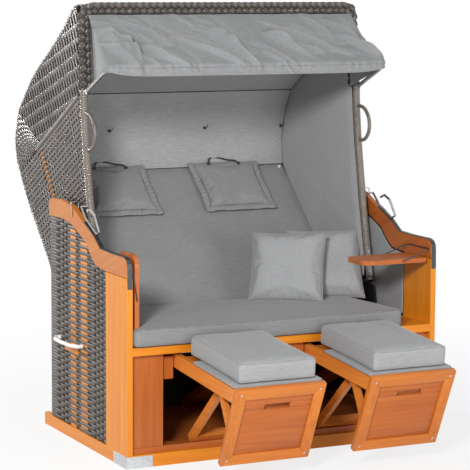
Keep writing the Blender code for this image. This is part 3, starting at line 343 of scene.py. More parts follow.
class Look(Nodes):
    """A material while it is put together."""

    def __init__(self, name, roughness, metallic=0.0):
        self.material = bpy.data.materials.new(name)
        self.material.use_nodes = True
        super().__init__(self.material.node_tree)
        self.shader = self.tree.nodes["Principled BSDF"]
        self.set("Roughness", roughness)
        self.set("Metallic", metallic)
        self.place = self.node("TexCoord").outputs["Object"]

    def set(self, key, value):
        """Joins or sets an input of the surface."""
        self.link(value, self.shader.inputs[key])

    def mapped(self, scale, rotation=(0, 0, 0)):
        """Places turned, then scaled."""
        turned = self.node("Mapping", {"Vector": self.place, "Rotation": rotation})
        return self.node("Mapping", {"Vector": turned.outputs[0], "Scale": scale}).outputs[0]

    def noise(self, scale, detail=3.0, roughness=0.5, distortion=0.0, where=None):
        """Cloudy noise."""
        made = self.node("TexNoise", {"Vector": where or self.place, "Scale": scale, "Detail": detail,
                                      "Roughness": roughness, "Distortion": distortion})
        return made.outputs["Fac"]

    def spread(self, value, low, high, to_low=0.0, to_high=1.0):
        """A value brought from one range to another."""
        made = self.node("MapRange", {"Value": value, "From Min": low, "From Max": high,
                                      "To Min": to_low, "To Max": to_high})
        return made.outputs[0]

    def weighted(self, a, a_share, b, b_share):
        """Sum of two values by their shares."""
        return self.op("ADD", self.op("MULTIPLY", a, a_share), self.op("MULTIPLY", b, b_share))

    def mix(self, factor, a, b):
        """A colour between two."""
        made = self.node("Mix", {0: factor, 6: a, 7: b}, data_type="RGBA")
        return made.outputs[2]

    def bump(self, height, strength, distance):
        """Fine relief of the surface."""
        made = self.node("Bump", {"Height": height, "Strength": strength, "Distance": distance})
        self.set("Normal", made.outputs[0])

    def geometry(self, key):
        """A value that the mesh gives."""
        return self.node("NewGeometry").outputs[key]


def shade(colour, share=1.0):
    """A colour made lighter or darker, with its fourth value."""
    return (*[c * share for c in colour], 1.0)


def wood_look(name, pale, dark, grain, rotation=(0, 0, 0)):
    """Varnished softwood with its grain along one axis."""
    look = Look(name, WOOD_ROUGHNESS)
    stretch = [26.0, 26.0, 26.0]
    stretch[grain] = 1.1
    fine = [260.0, 260.0, 260.0]
    fine[grain] = 6.0
    rings = look.noise(1.0, 5.0, 0.55, 1.6, look.mapped(stretch, rotation))
    streaks = look.noise(1.0, 4.0, 0.6, 0.3, look.mapped(fine, rotation))
    tone = look.weighted(rings, 0.62, streaks, 0.38)
    colour = look.mix(look.spread(tone, 0.36, 0.64), shade(dark), shade(pale))
    warm = shade([c * k for c, k in zip(pale, WOOD_WARMTH)])
    colour = look.mix(look.spread(look.noise(5.0, 2.0), 0.45, 0.75, 0.0, 0.45), colour, warm)
    # Painted shade: concave creases, where pointiness is low, are darkened toward the dark wood colour.
    edges = look.spread(look.geometry("Pointiness"), 0.50, 0.44, 0.0, 0.6)
    look.set("Base Color", look.mix(edges, colour, shade(dark, 0.45)))
    look.set("Roughness", look.spread(streaks, 0.3, 0.7, WOOD_ROUGHNESS - 0.07, WOOD_ROUGHNESS + 0.10))
    look.set("Specular IOR Level", 0.32)
    look.set("Coat Weight", 0.05)
    look.set("Coat Roughness", 0.2)
    look.bump(tone, 0.18, 0.0008)
    return look.material


def wicker_look(name, pale, dark, roughness):
    """Half-round plastic strand, each one a little different."""
    look = Look(name, roughness)
    cloudy = look.noise(22.0, 3.0)
    tone = look.weighted(look.geometry("Random Per Island"), 0.6, cloudy, 0.5)
    colour = look.mix(look.spread(tone, 0.15, 0.95), shade(dark), shade(pale))
    dust = look.spread(look.noise(4.0, 4.0), 0.5, 0.8, 0.0, 0.20)
    look.set("Base Color", look.mix(dust, colour, DUST))
    look.set("Roughness", look.spread(cloudy, 0.3, 0.7, roughness - 0.06, roughness + 0.12))
    look.set("Specular IOR Level", 0.62)
    look.bump(look.noise(420.0, 2.0), 0.12, 0.0006)
    return look.material


def fabric_look(name, pale, dark):
    """Plain woven cloth with mixed threads."""
    look = Look(name, CLOTH_ROUGHNESS)
    waves = [look.node("TexWave", {"Vector": where, "Scale": THREAD_SCALE, "Distortion": 1.2, "Detail": 1.0,
                                   "Detail Scale": 3.0}, bands_direction="DIAGONAL").outputs["Fac"]
             for where in (look.place, look.mapped((1, -1, 1)))]
    weave = look.op("MULTIPLY", *waves)
    melange = look.noise(260.0, 3.0, 0.7)
    slub = look.noise(1.0, 3.0, 0.6, 0.0, look.mapped((30, 320, 320)))
    tone = look.weighted(melange, 0.5, slub, 0.5)
    colour = look.mix(look.spread(tone, 0.34, 0.66), shade(dark), shade(pale))
    broad = look.spread(look.noise(6.0, 3.0), 0.35, 0.75, 0.0, 0.16)
    look.set("Base Color", look.mix(broad, colour, shade(dark, 0.72)))
    look.set("Sheen Weight", 0.18)
    look.set("Sheen Roughness", 0.5)
    look.set("Specular IOR Level", 0.15)
    look.bump(look.weighted(weave, 0.5, melange, 0.7), 0.35, 0.0007)
    return look.material


def metal_look(name, colour, roughness, metallic=1.0):
    """Plated or painted metal with faint blotches."""
    look = Look(name, roughness, metallic)
    blotch = look.noise(60.0, 4.0, 0.6)
    look.set("Base Color", look.mix(look.spread(blotch, 0.3, 0.7), shade(colour, 0.78), shade(colour)))
    look.set("Roughness", look.spread(blotch, 0.3, 0.7, roughness - 0.06, roughness + 0.12))
    look.bump(look.noise(600.0, 2.0), 0.06, 0.0004)
    return look.material


def plastic_look(name, colour, roughness=0.35):
    """Moulded plastic with a faint skin."""
    look = Look(name, roughness)
    cloudy = look.noise(30.0, 3.0)
    look.set("Base Color", look.mix(look.spread(cloudy, 0.3, 0.7), shade(colour, 0.88), shade(colour)))
    look.set("Roughness", look.spread(cloudy, 0.3, 0.7, roughness, roughness + 0.15))
    look.bump(look.noise(900.0, 2.0), 0.08, 0.0003)
    return look.material


BRIGHT_PALE, BRIGHT_DARK = (0.73, 0.262, 0.014), (0.59, 0.176, 0.008)
RED_PALE, RED_DARK = (0.49, 0.140, 0.028), (0.36, 0.088, 0.017)
WOOD_X = wood_look("bright_wood_along_x", BRIGHT_PALE, BRIGHT_DARK, 0)
WOOD_Y = wood_look("bright_wood_along_y", BRIGHT_PALE, BRIGHT_DARK, 1)
WOOD_Z = wood_look("bright_wood_along_z", BRIGHT_PALE, BRIGHT_DARK, 2)
ARM_WOOD = wood_look("arm_wood", (0.56, 0.190, 0.024), (0.42, 0.125, 0.014), 1, (0.35, 0, 0))
# Painted shade: a darker, redder copy of the arm wood for the right arm board, whose inner face lies in
# shade.
ARM_WOOD_SHADED = wood_look("arm_wood_painted_shade", (0.46, 0.130, 0.024), (0.33, 0.080, 0.014), 1, (0.35, 0, 0))
RED_X = wood_look("red_wood_along_x", RED_PALE, RED_DARK, 0)
RED_Z = wood_look("red_wood_along_z", RED_PALE, RED_DARK, 2)
FRAME_X = wood_look("footrest_bar_along_x", (0.60, 0.195, 0.030), (0.45, 0.125, 0.020), 0)
FRAME_Z = wood_look("footrest_bar_along_z", (0.60, 0.195, 0.030), (0.45, 0.125, 0.020), 2)
FOOT_WOOD = wood_look("foot_wood", (0.74, 0.26, 0.045), (0.55, 0.16, 0.028), 1)
WICKER = wicker_look("wicker", (0.098, 0.078, 0.064), (0.044, 0.034, 0.027), 0.56)
WICKER_SHINY = wicker_look("wicker_shiny", (0.104, 0.084, 0.071), (0.040, 0.031, 0.026), 0.20)
WICKER_POST = wicker_look("wicker_post", (0.190, 0.162, 0.135), (0.080, 0.066, 0.055), 0.14)
WICKER_DARK = wicker_look("wicker_dark", (0.098, 0.086, 0.076), (0.036, 0.030, 0.027), 0.16)
# Painted shade: near-black strand material for the sheets behind the weave, the narrow stakes and the
# braid's core, standing in for the shade inside.
PAINTED_SHADE = wicker_look("weave_painted_shade", (0.022, 0.017, 0.014), (0.012, 0.009, 0.008), 0.8)
GREY = fabric_look("grey_cloth", (0.322, 0.324, 0.327), (0.216, 0.218, 0.222))
LINING_GREY = fabric_look("lining_cloth", (0.430, 0.432, 0.435), (0.300, 0.302, 0.306))
GREY_PIPING = fabric_look("grey_piping", (0.235, 0.236, 0.240), (0.160, 0.161, 0.165))
PALE = fabric_look("pale_cloth", (0.375, 0.380, 0.385), (0.265, 0.269, 0.274))
PALE_PIPING = fabric_look("pale_piping", (0.330, 0.332, 0.336), (0.240, 0.242, 0.246))
ZINC = metal_look("zinc", (0.62, 0.64, 0.66), 0.34)
CHROME = metal_look("bright_metal", (0.50, 0.50, 0.51), 0.20)
DARK = metal_look("dark_metal", (0.075, 0.075, 0.080), 0.42, 0.7)
WHITE = plastic_look("white_plastic", (0.86, 0.86, 0.85))
STRAP = plastic_look("strap", (0.030, 0.030, 0.032), 0.6)
AWNING_LOOK = fabric_look("awning_cloth", (0.302, 0.306, 0.309), (0.198, 0.202, 0.206))
GREY_LIGHT = fabric_look("grey_light_cloth", (0.325, 0.327, 0.331), (0.225, 0.227, 0.231))
SEAT_GREY = fabric_look("seat_cloth", (0.270, 0.271, 0.275), (0.185, 0.187, 0.191))
# Painted shade: near-black cord for the lining's roof and back corner, standing in for the shade in that
# crease.
SEAM_SHADE = fabric_look("seam_painted_shade", (0.060, 0.060, 0.062), (0.035, 0.035, 0.037))


# Weave


def weave_swing(run, stakes, parity):
    """In front (+1) or behind (-1) along a strand's run. A stake is (low, high, wrapped)."""
    places, signs = [], []
    for index, (low, high, wrapped) in enumerate(stakes):
        sign = 1.0 if wrapped or (index + parity) % 2 == 0 else -1.0
        places += [low, high]
        signs += [sign, sign]
    return np.sin(np.interp(run, places, signs) * math.pi / 2)


def stakes_between(start, end):
    """Evenly spread narrow stakes."""
    count = max(1, int(round((end - start) / STAKE_SPACING)))
    step = (end - start) / count
    middles = [start + step * (k + 0.5) for k in range(count)]
    return [(middle - STAKE_HALF, middle + STAKE_HALF, False) for middle in middles]


def mirrored(points, side):
    """Points with X turned to one side."""
    out = np.array(points, float)
    out[..., 0] *= side
    return out


# Stakes and slats of a base side, as depths behind the base's front face
BASE_NARROW = (0.200, 0.234, 0.269, 0.303)
BASE_SLATS = ((0.351, 0.436), (0.462, 0.536))
SLAT_START = 0.026
BASE_REAR_STAKES = (0.580, 0.613, 0.657)
BASE_POST = (0.672, 0.745)
STAKE_HALF = 0.0040
STAKE_SPACING = 0.036
SLAT_CLEARANCE = 0.012
SLAT_LEAST = 0.03
BASE_SLAT_LIP, ROOF_SLAT_LIP = 0.002, 0.004
UPRIGHT_ROUNDING = 0.0008
BASE_FOOT = 0.004
BASE_SKIN_OFFSET, BASE_SKIN = 0.002, 0.0015
CORNER_TURN = 0.018
SIDE_STEP, REAR_STEP = 0.0045, 0.0050
REAR_SLATS = ((0.075, 0.150), (0.330, 0.400))


def base_run():
    """Half of a course round the base in plan: place, way out and distance from the front board."""
    side_x = BASE_HALF - WEAVE_DEPTH
    rear_y = behind(BASE_DEPTH) - WEAVE_DEPTH
    straight = np.arange(behind(FRONT_BOARD_DEPTH), rear_y - CORNER_TURN, SIDE_STEP)
    points = [(side_x, y, 0.0) for y in straight]
    outs = [(1.0, 0.0, 0.0)] * len(points)
    for angle in np.linspace(0, math.pi / 2, 6):
        points.append((side_x - CORNER_TURN * (1 - math.cos(angle)),
                       rear_y - CORNER_TURN * (1 - math.sin(angle)), 0.0))
        outs.append((math.cos(angle), math.sin(angle), 0.0))
    for x in np.arange(side_x - CORNER_TURN, -0.004, -REAR_STEP)[1:]:
        points.append((max(x, 0.0), rear_y, 0.0))
        outs.append((0.0, 1.0, 0.0))
    points = np.array(points)
    return points, np.array(outs), FRONT_BOARD_DEPTH + run_of(points)


def base_stakes(length):
    """Stakes along half of a course round the base, and the marks of slats among them."""
    stakes = [(d - STAKE_HALF, d + STAKE_HALF, False) for d in BASE_NARROW]
    stakes += [(low, high, False) for low, high in BASE_SLATS]
    stakes += [(d - STAKE_HALF, d + STAKE_HALF, False) for d in BASE_REAR_STAKES]
    at = BASE_POST[1] + CORNER_TURN
    stakes.append((BASE_POST[0], at, True))
    for low, high in sorted((length - high, length - low) for low, high in REAR_SLATS):
        stakes += stakes_between(at + 0.01, low - SLAT_CLEARANCE)
        stakes.append((low, high, False))
        at = high
    return stakes + stakes_between(at + SLAT_CLEARANCE, length + STAKE_SPACING / 2)


def arm_low_height(depth):
    """Height of the arm board's lower edge."""
    points = scaled(ARM_LOW_SHARES, BASE_DEPTH, ARM_HEIGHT)
    points = points[np.argsort(points[:, 0])]
    return np.interp(depth, points[:, 0], points[:, 1])


def make_base_weave():
    """Woven sides and rear of the base, with their slats, stakes and a near-black backing that paints the
    shade behind the strands.
    """
    points, outs, run = base_run()
    stakes = base_stakes(run[-1])
    section = strand_section()
    on_side = points[:, 1] < behind(BASE_DEPTH) - WEAVE_DEPTH - CORNER_TURN
    limit = np.where(on_side, arm_low_height(points[:, 1] - FRONT) + 0.004, arm_low_height(BASE_DEPTH))
    inner_end = points[:, 0] < BASE_HALF - BOARD
    heights = np.arange(COURSE * 0.6, float(limit.max()), COURSE)
    for word, side in SIDES:
        form = Form()
        for index, height in enumerate(heights):
            keep = limit > height
            if height < SILL_TOP + COURSE / 2:
                keep &= inner_end
            if height > REAR_PANEL_TOP - COURSE / 2:
                keep &= ~inner_end
            centre = points + outs * (weave_swing(run, stakes, index) * WEAVE_SWING)[:, None]
            centre[:, 2] = height
            form.sweep(mirrored(centre[keep], side), mirrored(outs[keep], side), section)
        add_base_uprights(form, side, points, run, stakes)
        add_base_shade_backing(form, side)
        piece = form.make(f"base_weave_{word}", [WICKER, WOOD_Z, PAINTED_SHADE], "base")
        nodes = [f"side_panel_{word}"] + (["rear_panel"] if side > 0 else [])
        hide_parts(*nodes)


def add_base_uprights(form, side, points, run, stakes):
    """Slats and narrow stakes that the strands pass over and under."""
    thick = SLAT_THICKNESS / 2
    for low, high, wrapped in stakes:
        if wrapped:
            continue
        x, y, _ = along(points, run, (low + high) / 2)
        on_side = x > BASE_HALF - WEAVE_DEPTH - 0.002
        slat = high - low > SLAT_LEAST
        half = (high - low) / 2 + BASE_SLAT_LIP if slat else STAKE_HALF
        if on_side:
            start = SLAT_START if slat else 0.0
            low_corner = (x - thick, y - half + start, SILL_TOP)
            high_corner = (x + thick, y + half, float(arm_low_height(y - FRONT)))
        else:
            low_corner = (x - half, y - thick, BASE_FOOT)
            high_corner = (x + half, y + thick, REAR_PANEL_TOP)
        # Narrow stakes take the near-black painted shade material; slats take the wood.
        form.side_box(side, low_corner, high_corner, 1 if slat else 2, UPRIGHT_ROUNDING)


def add_base_shade_backing(form, side):
    """Near-black inner sheet of a base side and its half of the rear: painted shade behind the strands."""
    x = BASE_HALF - BOARD + BASE_SKIN_OFFSET
    depths = np.linspace(FRONT_BOARD_DEPTH + 0.001, BASE_DEPTH - 0.018, 24)
    tops = arm_low_height(depths) - 0.001
    ring = [(side * x, behind(d), SILL_TOP) for d in depths]
    ring += [(side * x, behind(d), t) for d, t in zip(depths[::-1], tops[::-1])]
    form.plate(ring, (side * BASE_SKIN, 0, 0), 2)
    inside = behind(BASE_DEPTH) - BOARD
    form.side_box(side, (0.0, inside, 0.002), (x - 0.0005, inside + 0.002, REAR_PANEL_TOP), 2)


# Hood weave

RIB_START = np.array((0.935, 1.064))
RIB_END = np.array((0.560, 1.264))
RIB_WAY = unit(RIB_END - RIB_START)
RIB_CLEARANCE = 0.004
RIB_PITCH = 0.0085
RIB_SECTION = [(-0.0128, -0.003), (-0.0120, 0.0005), (-0.007, 0.0046), (0.007, 0.0046), (0.0120, 0.0005),
               (0.0128, -0.003)]
FAN_TOP = np.array((1.215, 1.175))
FAN_REACH, FAN_STEP = 0.27, 0.0042
FAMILY_MIDDLE = np.array((0.85, 1.05))
FAMILY_HALF, FAMILY_STEP = 72, 0.0036
STEEP_WAY = np.array((-0.4711, -0.8821))
SLAT_TOP = np.array((0.948, 1.040))
SLAT_FOOT = np.array((0.728, 0.768))
SIDE_SLAT_HALF = 0.015
HOOD_COURSE = 0.0125
STEEP_PERIOD, STEEP_SHIFT, STEEP_DIP = 0.0507, 0.0046, 0.0050
RIB_PERIOD, RIB_DIP, RIB_COURSE = 0.0242, 0.0036, 0.0105
SUNK, RAISED, LEVEL, FAN_RAISED = -1.9, 0.5, 0.7, 0.8
FAN_DIP, FAN_FADE, DIP_FADE = 0.0035, 0.0035, 0.003
ROOF_SLATS = ((0.105, 0.180), (0.365, 0.440))
ROOF_SKIN_DEPTH, SIDE_SKIN_DEPTH, HOOD_SKIN = 0.014, 0.0112, 0.002
SIDE_FRONT_HEIGHTS = (0.545, 0.7, 0.9, 1.05, 1.2, 1.3, 1.4, 1.5, 1.56)
FRONT_OVERLAP, OUTLINE_INSET = 0.010, 0.008
SEATS = np.array((0.75, 1.0))
SIDE_MIDDLE = np.array((0.80, 1.00))
WOUND_STEP = 0.0012
POST_TURN, POST_GROOVE = 0.0095, 0.0030
HANDLE_RADIUS, HANDLE_TURN, HANDLE_GROOVE = 0.0072, 0.0060, 0.0009
BRAID_REPEAT, BRAID_SWAY, BRAID_RISE, BRAID_CORE = 0.084, 0.0138, 0.0092, (0.011, 0.010)
BUNDLE_HALF, BUNDLE_RISE = 0.0102, 0.0056
HANDLE_REACH = 0.074
HANDLE_SHARES = [(-0.06, 0.00), (0.30, 0.02), (0.62, 0.10), (0.88, 0.26), (0.98, 0.46), (0.90, 0.70),
                 (0.62, 0.90), (0.28, 1.00), (-0.06, 1.02)]


def hood_outline(step):
    """The hood's outer side view, from the roof's front edge back and down."""
    return smooth_path(hood_places(HOOD_SHARES), step)


def inward_of(line):
    """Unit ways from a side view line of the hood towards the seats."""
    tangent = unit(np.gradient(line, axis=0))
    inward = np.stack([-tangent[:, 1], tangent[:, 0]], axis=1)
    return inward * np.sign(np.sum(inward * (SEATS - line), axis=1))[:, None]


def front_limit(height):
    """Depth at which a side strand ends inside the wrapped post or the braid."""
    braid = np.array([(BRAID_FOOT_DEPTH, POST_TOP), (BRAID_DEPTH, 1.583), (BRAID_DEPTH, 1.65)])
    line = np.concatenate([hood_places(POST_SHARES)[:-1], braid])
    return np.interp(height, line[:, 1], line[:, 0]) + FRONT_OVERLAP


def inside_side(points):
    """Which side view points lie behind the posts and above the hood side's foot."""
    depth, height = points[:, 0], points[:, 1]
    foot = hood_places(SIDE_LOW_SHARES)
    foot_line = foot[:3][np.argsort(foot[:3, 0])]
    low = np.interp(depth, foot_line[:, 0], foot_line[:, 1])
    low = np.where(depth < foot_line[0, 0], 9.0, low)
    toe = (height < foot[4, 1]) & (height > low)
    return (height > low) & (toe | (depth > front_limit(height)))


def rib_side(points):
    """Signed distance above the rib's line."""
    return (points - RIB_START) @ np.array((RIB_WAY[1], -RIB_WAY[0]))


def hood_swing(run, index, spacing, dip):
    """Height of a side strand, which mostly lies in front and dips behind every other stake."""
    place = np.mod(run / spacing + index, 2.0) * spacing
    away = np.minimum(np.abs(place - spacing), 2 * spacing - np.abs(place - spacing))
    share = np.clip((away - dip) / FAN_FADE, 0, 1)
    return SUNK + (FAN_RAISED - SUNK) * np.sin(share * math.pi / 2)


def steep_swing(run, index):
    """Height of an upper side strand: every other one dips twice in each repeat."""
    return paired_swing(run, index, STEEP_PERIOD, STEEP_SHIFT, (0, 1 / 3, 1), STEEP_DIP)


def rib_swing(run, index):
    """Height of a lower side strand: every other one dips once in each repeat."""
    return paired_swing(run, index, RIB_PERIOD, 0.0, (0, 1), RIB_DIP)


def paired_swing(run, index, period, shift, marks, dip):
    """Height of a strand in a weave whose every other strand dips at the marks of a repeat."""
    if index % 2:
        return np.full(len(run), LEVEL)
    place = np.mod(run + index / 2 * shift, period)
    away = np.min([np.abs(place - mark * period) for mark in marks], axis=0)
    return SUNK + (RAISED - SUNK) * np.clip((away - dip) / DIP_FADE, 0, 1)


def inside_outline(points):
    """Which side view points lie inside the hood's outline, a little in from it."""
    outline = hood_outline(0.01) - SIDE_MIDDLE
    angle = np.arctan2(outline[:, 1], outline[:, 0])
    reach = np.linalg.norm(outline, axis=1) - OUTLINE_INSET
    order = np.argsort(angle)
    away = points - SIDE_MIDDLE
    here = np.arctan2(away[:, 1], away[:, 0])
    return np.linalg.norm(away, axis=1) < np.interp(here, angle[order], reach[order], period=2 * math.pi)


def upper_region(points):
    """The part of a hood side above the rib and the fan."""
    fan = unit(FAN_TOP - RIB_START)
    above_fan = (points - RIB_START) @ np.array((-fan[1], fan[0])) > 0
    above = np.where(points[:, 0] < RIB_START[0], rib_side(points) > RIB_CLEARANCE, above_fan)
    return above & inside_outline(points) & (points[:, 0] > front_limit(points[:, 1]))


def lower_region(points):
    """The part of a hood side below the rib's line."""
    return (rib_side(points) < -RIB_CLEARANCE) & inside_side(points) & inside_outline(points)


def add_side_family(form, side, way, region, course, swing_of, slat=None):
    """Parallel strands on a hood side wherever they are inside a region."""
    across = np.array((-way[1], way[0]))
    section = strand_section(course * 1.08, 0.0026)
    run = np.arange(-1.0, 1.0, FAMILY_STEP)
    for index in range(-FAMILY_HALF, FAMILY_HALF + 1):
        line = FAMILY_MIDDLE + across * (index * course) + way * run[:, None]
        inside = region(line)
        marks = np.flatnonzero(np.diff(np.concatenate([[0], inside.astype(int), [0]])))
        for start, end in zip(marks[::2], marks[1::2]):
            if end - start < 4:
                continue
            swing = swing_of(run[start:end], index)
            if slat is not None:
                away = np.abs((line[start:end] - slat[0]) @ slat[1])
                beside = np.clip((away - 0.016) / 0.012, 0, 1)
                over = 1.0 if index % 2 else -1.0
                swing = swing * beside + over * (1 - beside) * 1.15
            centre = at_x(HOOD_SIDE_X + swing * HOOD_SWING, line[start:end])
            form.sweep(mirrored(centre, side), (side, 0.0, 0.0), section)


def add_side_fan(form, side):
    """Strands that run from the hood's rear edge together at the rib's low end."""
    section = strand_section(HOOD_STRAND_WIDTH * 1.12)
    first = math.atan2(*(FAN_TOP - RIB_START)[::-1])
    last = math.atan2(-RIB_WAY[1], -RIB_WAY[0])
    count = int((first - last) * FAN_REACH / HOOD_COURSE)
    for index in range(count + 1):
        angle = first + (last - first) * index / count
        run = np.arange(0.012, 0.45, FAN_STEP)
        line = RIB_START + np.array((math.cos(angle), math.sin(angle))) * run[:, None]
        inside = inside_outline(line)
        kept = int(np.argmin(inside)) if not inside.all() else len(inside)
        line, run = line[:kept], run[:kept]
        centre = at_x(HOOD_SIDE_X + hood_swing(run, index, RIB_PERIOD, FAN_DIP) * HOOD_SWING, line)
        form.sweep(mirrored(centre, side), (side, 0.0, 0.0), section, 0, np.clip(run / 0.25, 0.16, 1.0))


def roof_stakes():
    """Stakes and slats of the roof and the back, from the middle to one side."""
    stakes = []
    at = -STAKE_SPACING / 2
    for low, high in ROOF_SLATS:
        stakes += stakes_between(at, low - SLAT_CLEARANCE)
        stakes.append((low, high, False))
        at = high + SLAT_CLEARANCE
    return stakes + stakes_between(at, HOOD_FLAT - 0.01)


def add_roof_courses(forms, stakes):
    """Courses across the roof and the back, turned over the hood's rounded edge at their ends."""
    fine = hood_outline(0.002)
    run = run_of(fine)
    inwards = inward_of(fine)
    section = strand_section(HOOD_STRAND_WIDTH)
    stakes = stakes + [(HOOD_FLAT + 0.004, HOOD_FLAT + 0.1, True)]
    radius = HOOD_ROUNDING - WEAVE_DEPTH
    angles = np.linspace(0, math.pi / 2, 7)[1:]
    tail = np.array((0.004, 0.009))
    flat_x = np.concatenate([np.arange(0, HOOD_FLAT, 0.0055), [HOOD_FLAT]])
    level = np.concatenate([np.zeros(len(flat_x)), angles, np.full(len(tail), math.pi / 2)])
    x = np.concatenate([flat_x, HOOD_FLAT + radius * np.sin(angles), np.full(len(tail), HOOD_SIDE_X)])
    drop = np.concatenate([np.zeros(len(flat_x)), radius * (1 - np.cos(angles)), radius + tail])
    distance = np.concatenate([flat_x, HOOD_FLAT + radius * angles,
                               HOOD_FLAT + radius * math.pi / 2 + tail])
    for index in range(int((run[-1] - 0.012) / HOOD_COURSE)):
        start = 0.010 + index * HOOD_COURSE
        inward = unit(along(inwards, run, start))
        place = along(fine, run, start) + inward * WEAVE_DEPTH + inward * drop[:, None]
        outs = np.stack([np.sin(level), -inward[0] * np.cos(level), -inward[1] * np.cos(level)], axis=1)
        swing = weave_swing(distance, stakes, index) * HOOD_SWING
        swing[-2:] = (-0.4 * HOOD_SWING, -1.2 * HOOD_SWING)
        centre = at_x(x, place) + outs * swing[:, None]
        for side, form in forms.items():
            form.sweep(mirrored(centre, side), mirrored(outs, side), section)


def make_hood_weave():
    """Woven shell: courses across the roof and the back, and strands on the sides."""
    forms = {1: Form(), -1: Form()}
    stakes = roof_stakes()
    add_roof_courses(forms, stakes)
    slat_way = unit(SLAT_TOP - SLAT_FOOT)
    slat = (SLAT_FOOT, np.array((-slat_way[1], slat_way[0])))
    for word, side in SIDES:
        form = forms[side]
        add_side_family(form, side, STEEP_WAY, upper_region, HOOD_COURSE, steep_swing)
        add_side_family(form, side, RIB_WAY, lower_region, RIB_COURSE, rib_swing, slat)
        add_side_fan(form, side)
        add_roof_uprights(form, side, stakes)
        add_side_slat(form, side)
        add_hood_shade_backing(form, side)
        piece = form.make(f"hood_weave_{word}", [WICKER_SHINY, WOOD_Z, PAINTED_SHADE], "hood")
        nodes = [f"hood_side_{word}"] + (["hood_back"] if side > 0 else [])
        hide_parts(*nodes)


def add_roof_uprights(form, side, stakes):
    """Slats and stakes that run along the roof and down the back."""
    line = even_path(hood_outline(0.002)[4:-2], 0.02)
    inward = inward_of(line)
    for low, high, _ in stakes:
        slat = high - low > SLAT_LEAST
        half = (high - low) / 2 + ROOF_SLAT_LIP if slat else STAKE_HALF
        path = at_x(side * (low + high) / 2, line + inward * WEAVE_DEPTH)
        # Narrow stakes take the near-black painted shade material; slats take the wood.
        form.sweep(path, outwards(inward), flat_section(half, SLAT_THICKNESS / 2), 1 if slat else 2)


def outwards(inward):
    """Ways out of the hood in space from the side view's ways towards the seats."""
    return np.stack([np.zeros(len(inward)), -inward[:, 0], -inward[:, 1]], axis=1)


def add_side_slat(form, side):
    """The wooden slat that shows through a hood side's strands."""
    path = at_x(side * HOOD_SIDE_X, even_path(np.array([SLAT_TOP, SLAT_FOOT]), 0.05))
    form.sweep(path, (side, 0.0, 0.0), flat_section(SIDE_SLAT_HALF, SLAT_THICKNESS / 2), 1)


def add_hood_shade_backing(form, side):
    """Near-black inner sheet behind the strands of a hood side and its half of the roof: painted shade."""
    outline = hood_outline(0.02)
    inward = inward_of(outline)
    shell = outline + inward * ROOF_SKIN_DEPTH
    half = (HOOD_HALF - 0.013) / 2
    form.sweep(at_x(side * half, shell), outwards(inward), flat_section(half, HOOD_SKIN / 2), 2)
    foot = hood_places(SIDE_LOW_SHARES)
    front = [(float(front_limit(h)), h) for h in SIDE_FRONT_HEIGHTS]
    ring = np.array([*foot[1:], *front, *shell])
    form.plate(at_x(side * (HOOD_HALF - SIDE_SKIN_DEPTH), ring), (-side * HOOD_SKIN, 0, 0), 2)


def make_rib(word, side):
    """Wrapped rib on a hood side, between the steep and the flat weave."""
    form = Form()
    line = even_path(np.array([RIB_START + (0.045, -0.024), RIB_END + (-0.012, 0.006)]), 0.0022)
    run = run_of(line)
    ridge = 1.0 - 0.10 * np.abs(np.cos(math.pi * run / RIB_PITCH)) ** 4
    taper = np.interp(run, [0, 0.06, run[-1]], [1.35, 1.0, 0.95])
    path = at_x(side * (HOOD_SIDE_X + 0.001), line)
    form.sweep(path, (side, 0.0, 0.0), RIB_SECTION, 0, ridge * taper)
    piece = form.make(f"side_rib_{word}", [WICKER], "hood")


def wound(form, line, radius, pitch, depth, sides=20):
    """A bar wound with a strand: its skin rises and falls once a turn."""
    path = smooth_path(line, WOUND_STEP)
    tangent = unit(np.gradient(path, axis=0))
    lead = np.eye(3)[int(np.argmin(np.abs(tangent.mean(axis=0))))]
    across = unit(np.cross(tangent, lead))
    out = np.cross(across, tangent)
    angles = np.linspace(2 * math.pi, 0, sides, endpoint=False)
    phase = run_of(path)[:, None] / pitch - angles[None, :] / (2 * math.pi)
    skin = radius - depth * (1 - np.abs(np.sin(math.pi * phase)) ** 0.5)
    rings = (path[:, None, :] + across[:, None, :] * (np.cos(angles) * skin)[:, :, None]
             + out[:, None, :] * (np.sin(angles) * skin)[:, :, None])
    form.add(rings, tube_faces(len(path), sides))


def make_post(word, side):
    """Front post wound with strand from its foot to the braid."""
    form = Form()
    posts = hood_places(POST_SHARES)
    wound(form, at_x(side * WOUND_PLACE, posts) + (0, 0.002, 0), WOUND_RADIUS, POST_TURN, POST_GROOVE)
    piece = form.make(f"wound_post_{word}", [WICKER_POST], "hood")
    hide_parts(f"hood_post_{word}")


def braid_line(step):
    """Middle of the braid, up one side, across and down the other."""
    corner = [(BRAID_PLACE - BRAID_TURN * (1 - math.cos(a)), behind(BRAID_DEPTH),
               BRAID_LEG_TOP + BRAID_TURN * math.sin(a)) for a in np.linspace(0, math.pi / 2, 8)]
    half = [(BRAID_PLACE, behind(BRAID_FOOT_DEPTH), BRAID_FOOT)] + corner
    whole = half + [(-x, y, z) for x, y, z in half[::-1]]
    return even_path(np.array(whole), step)


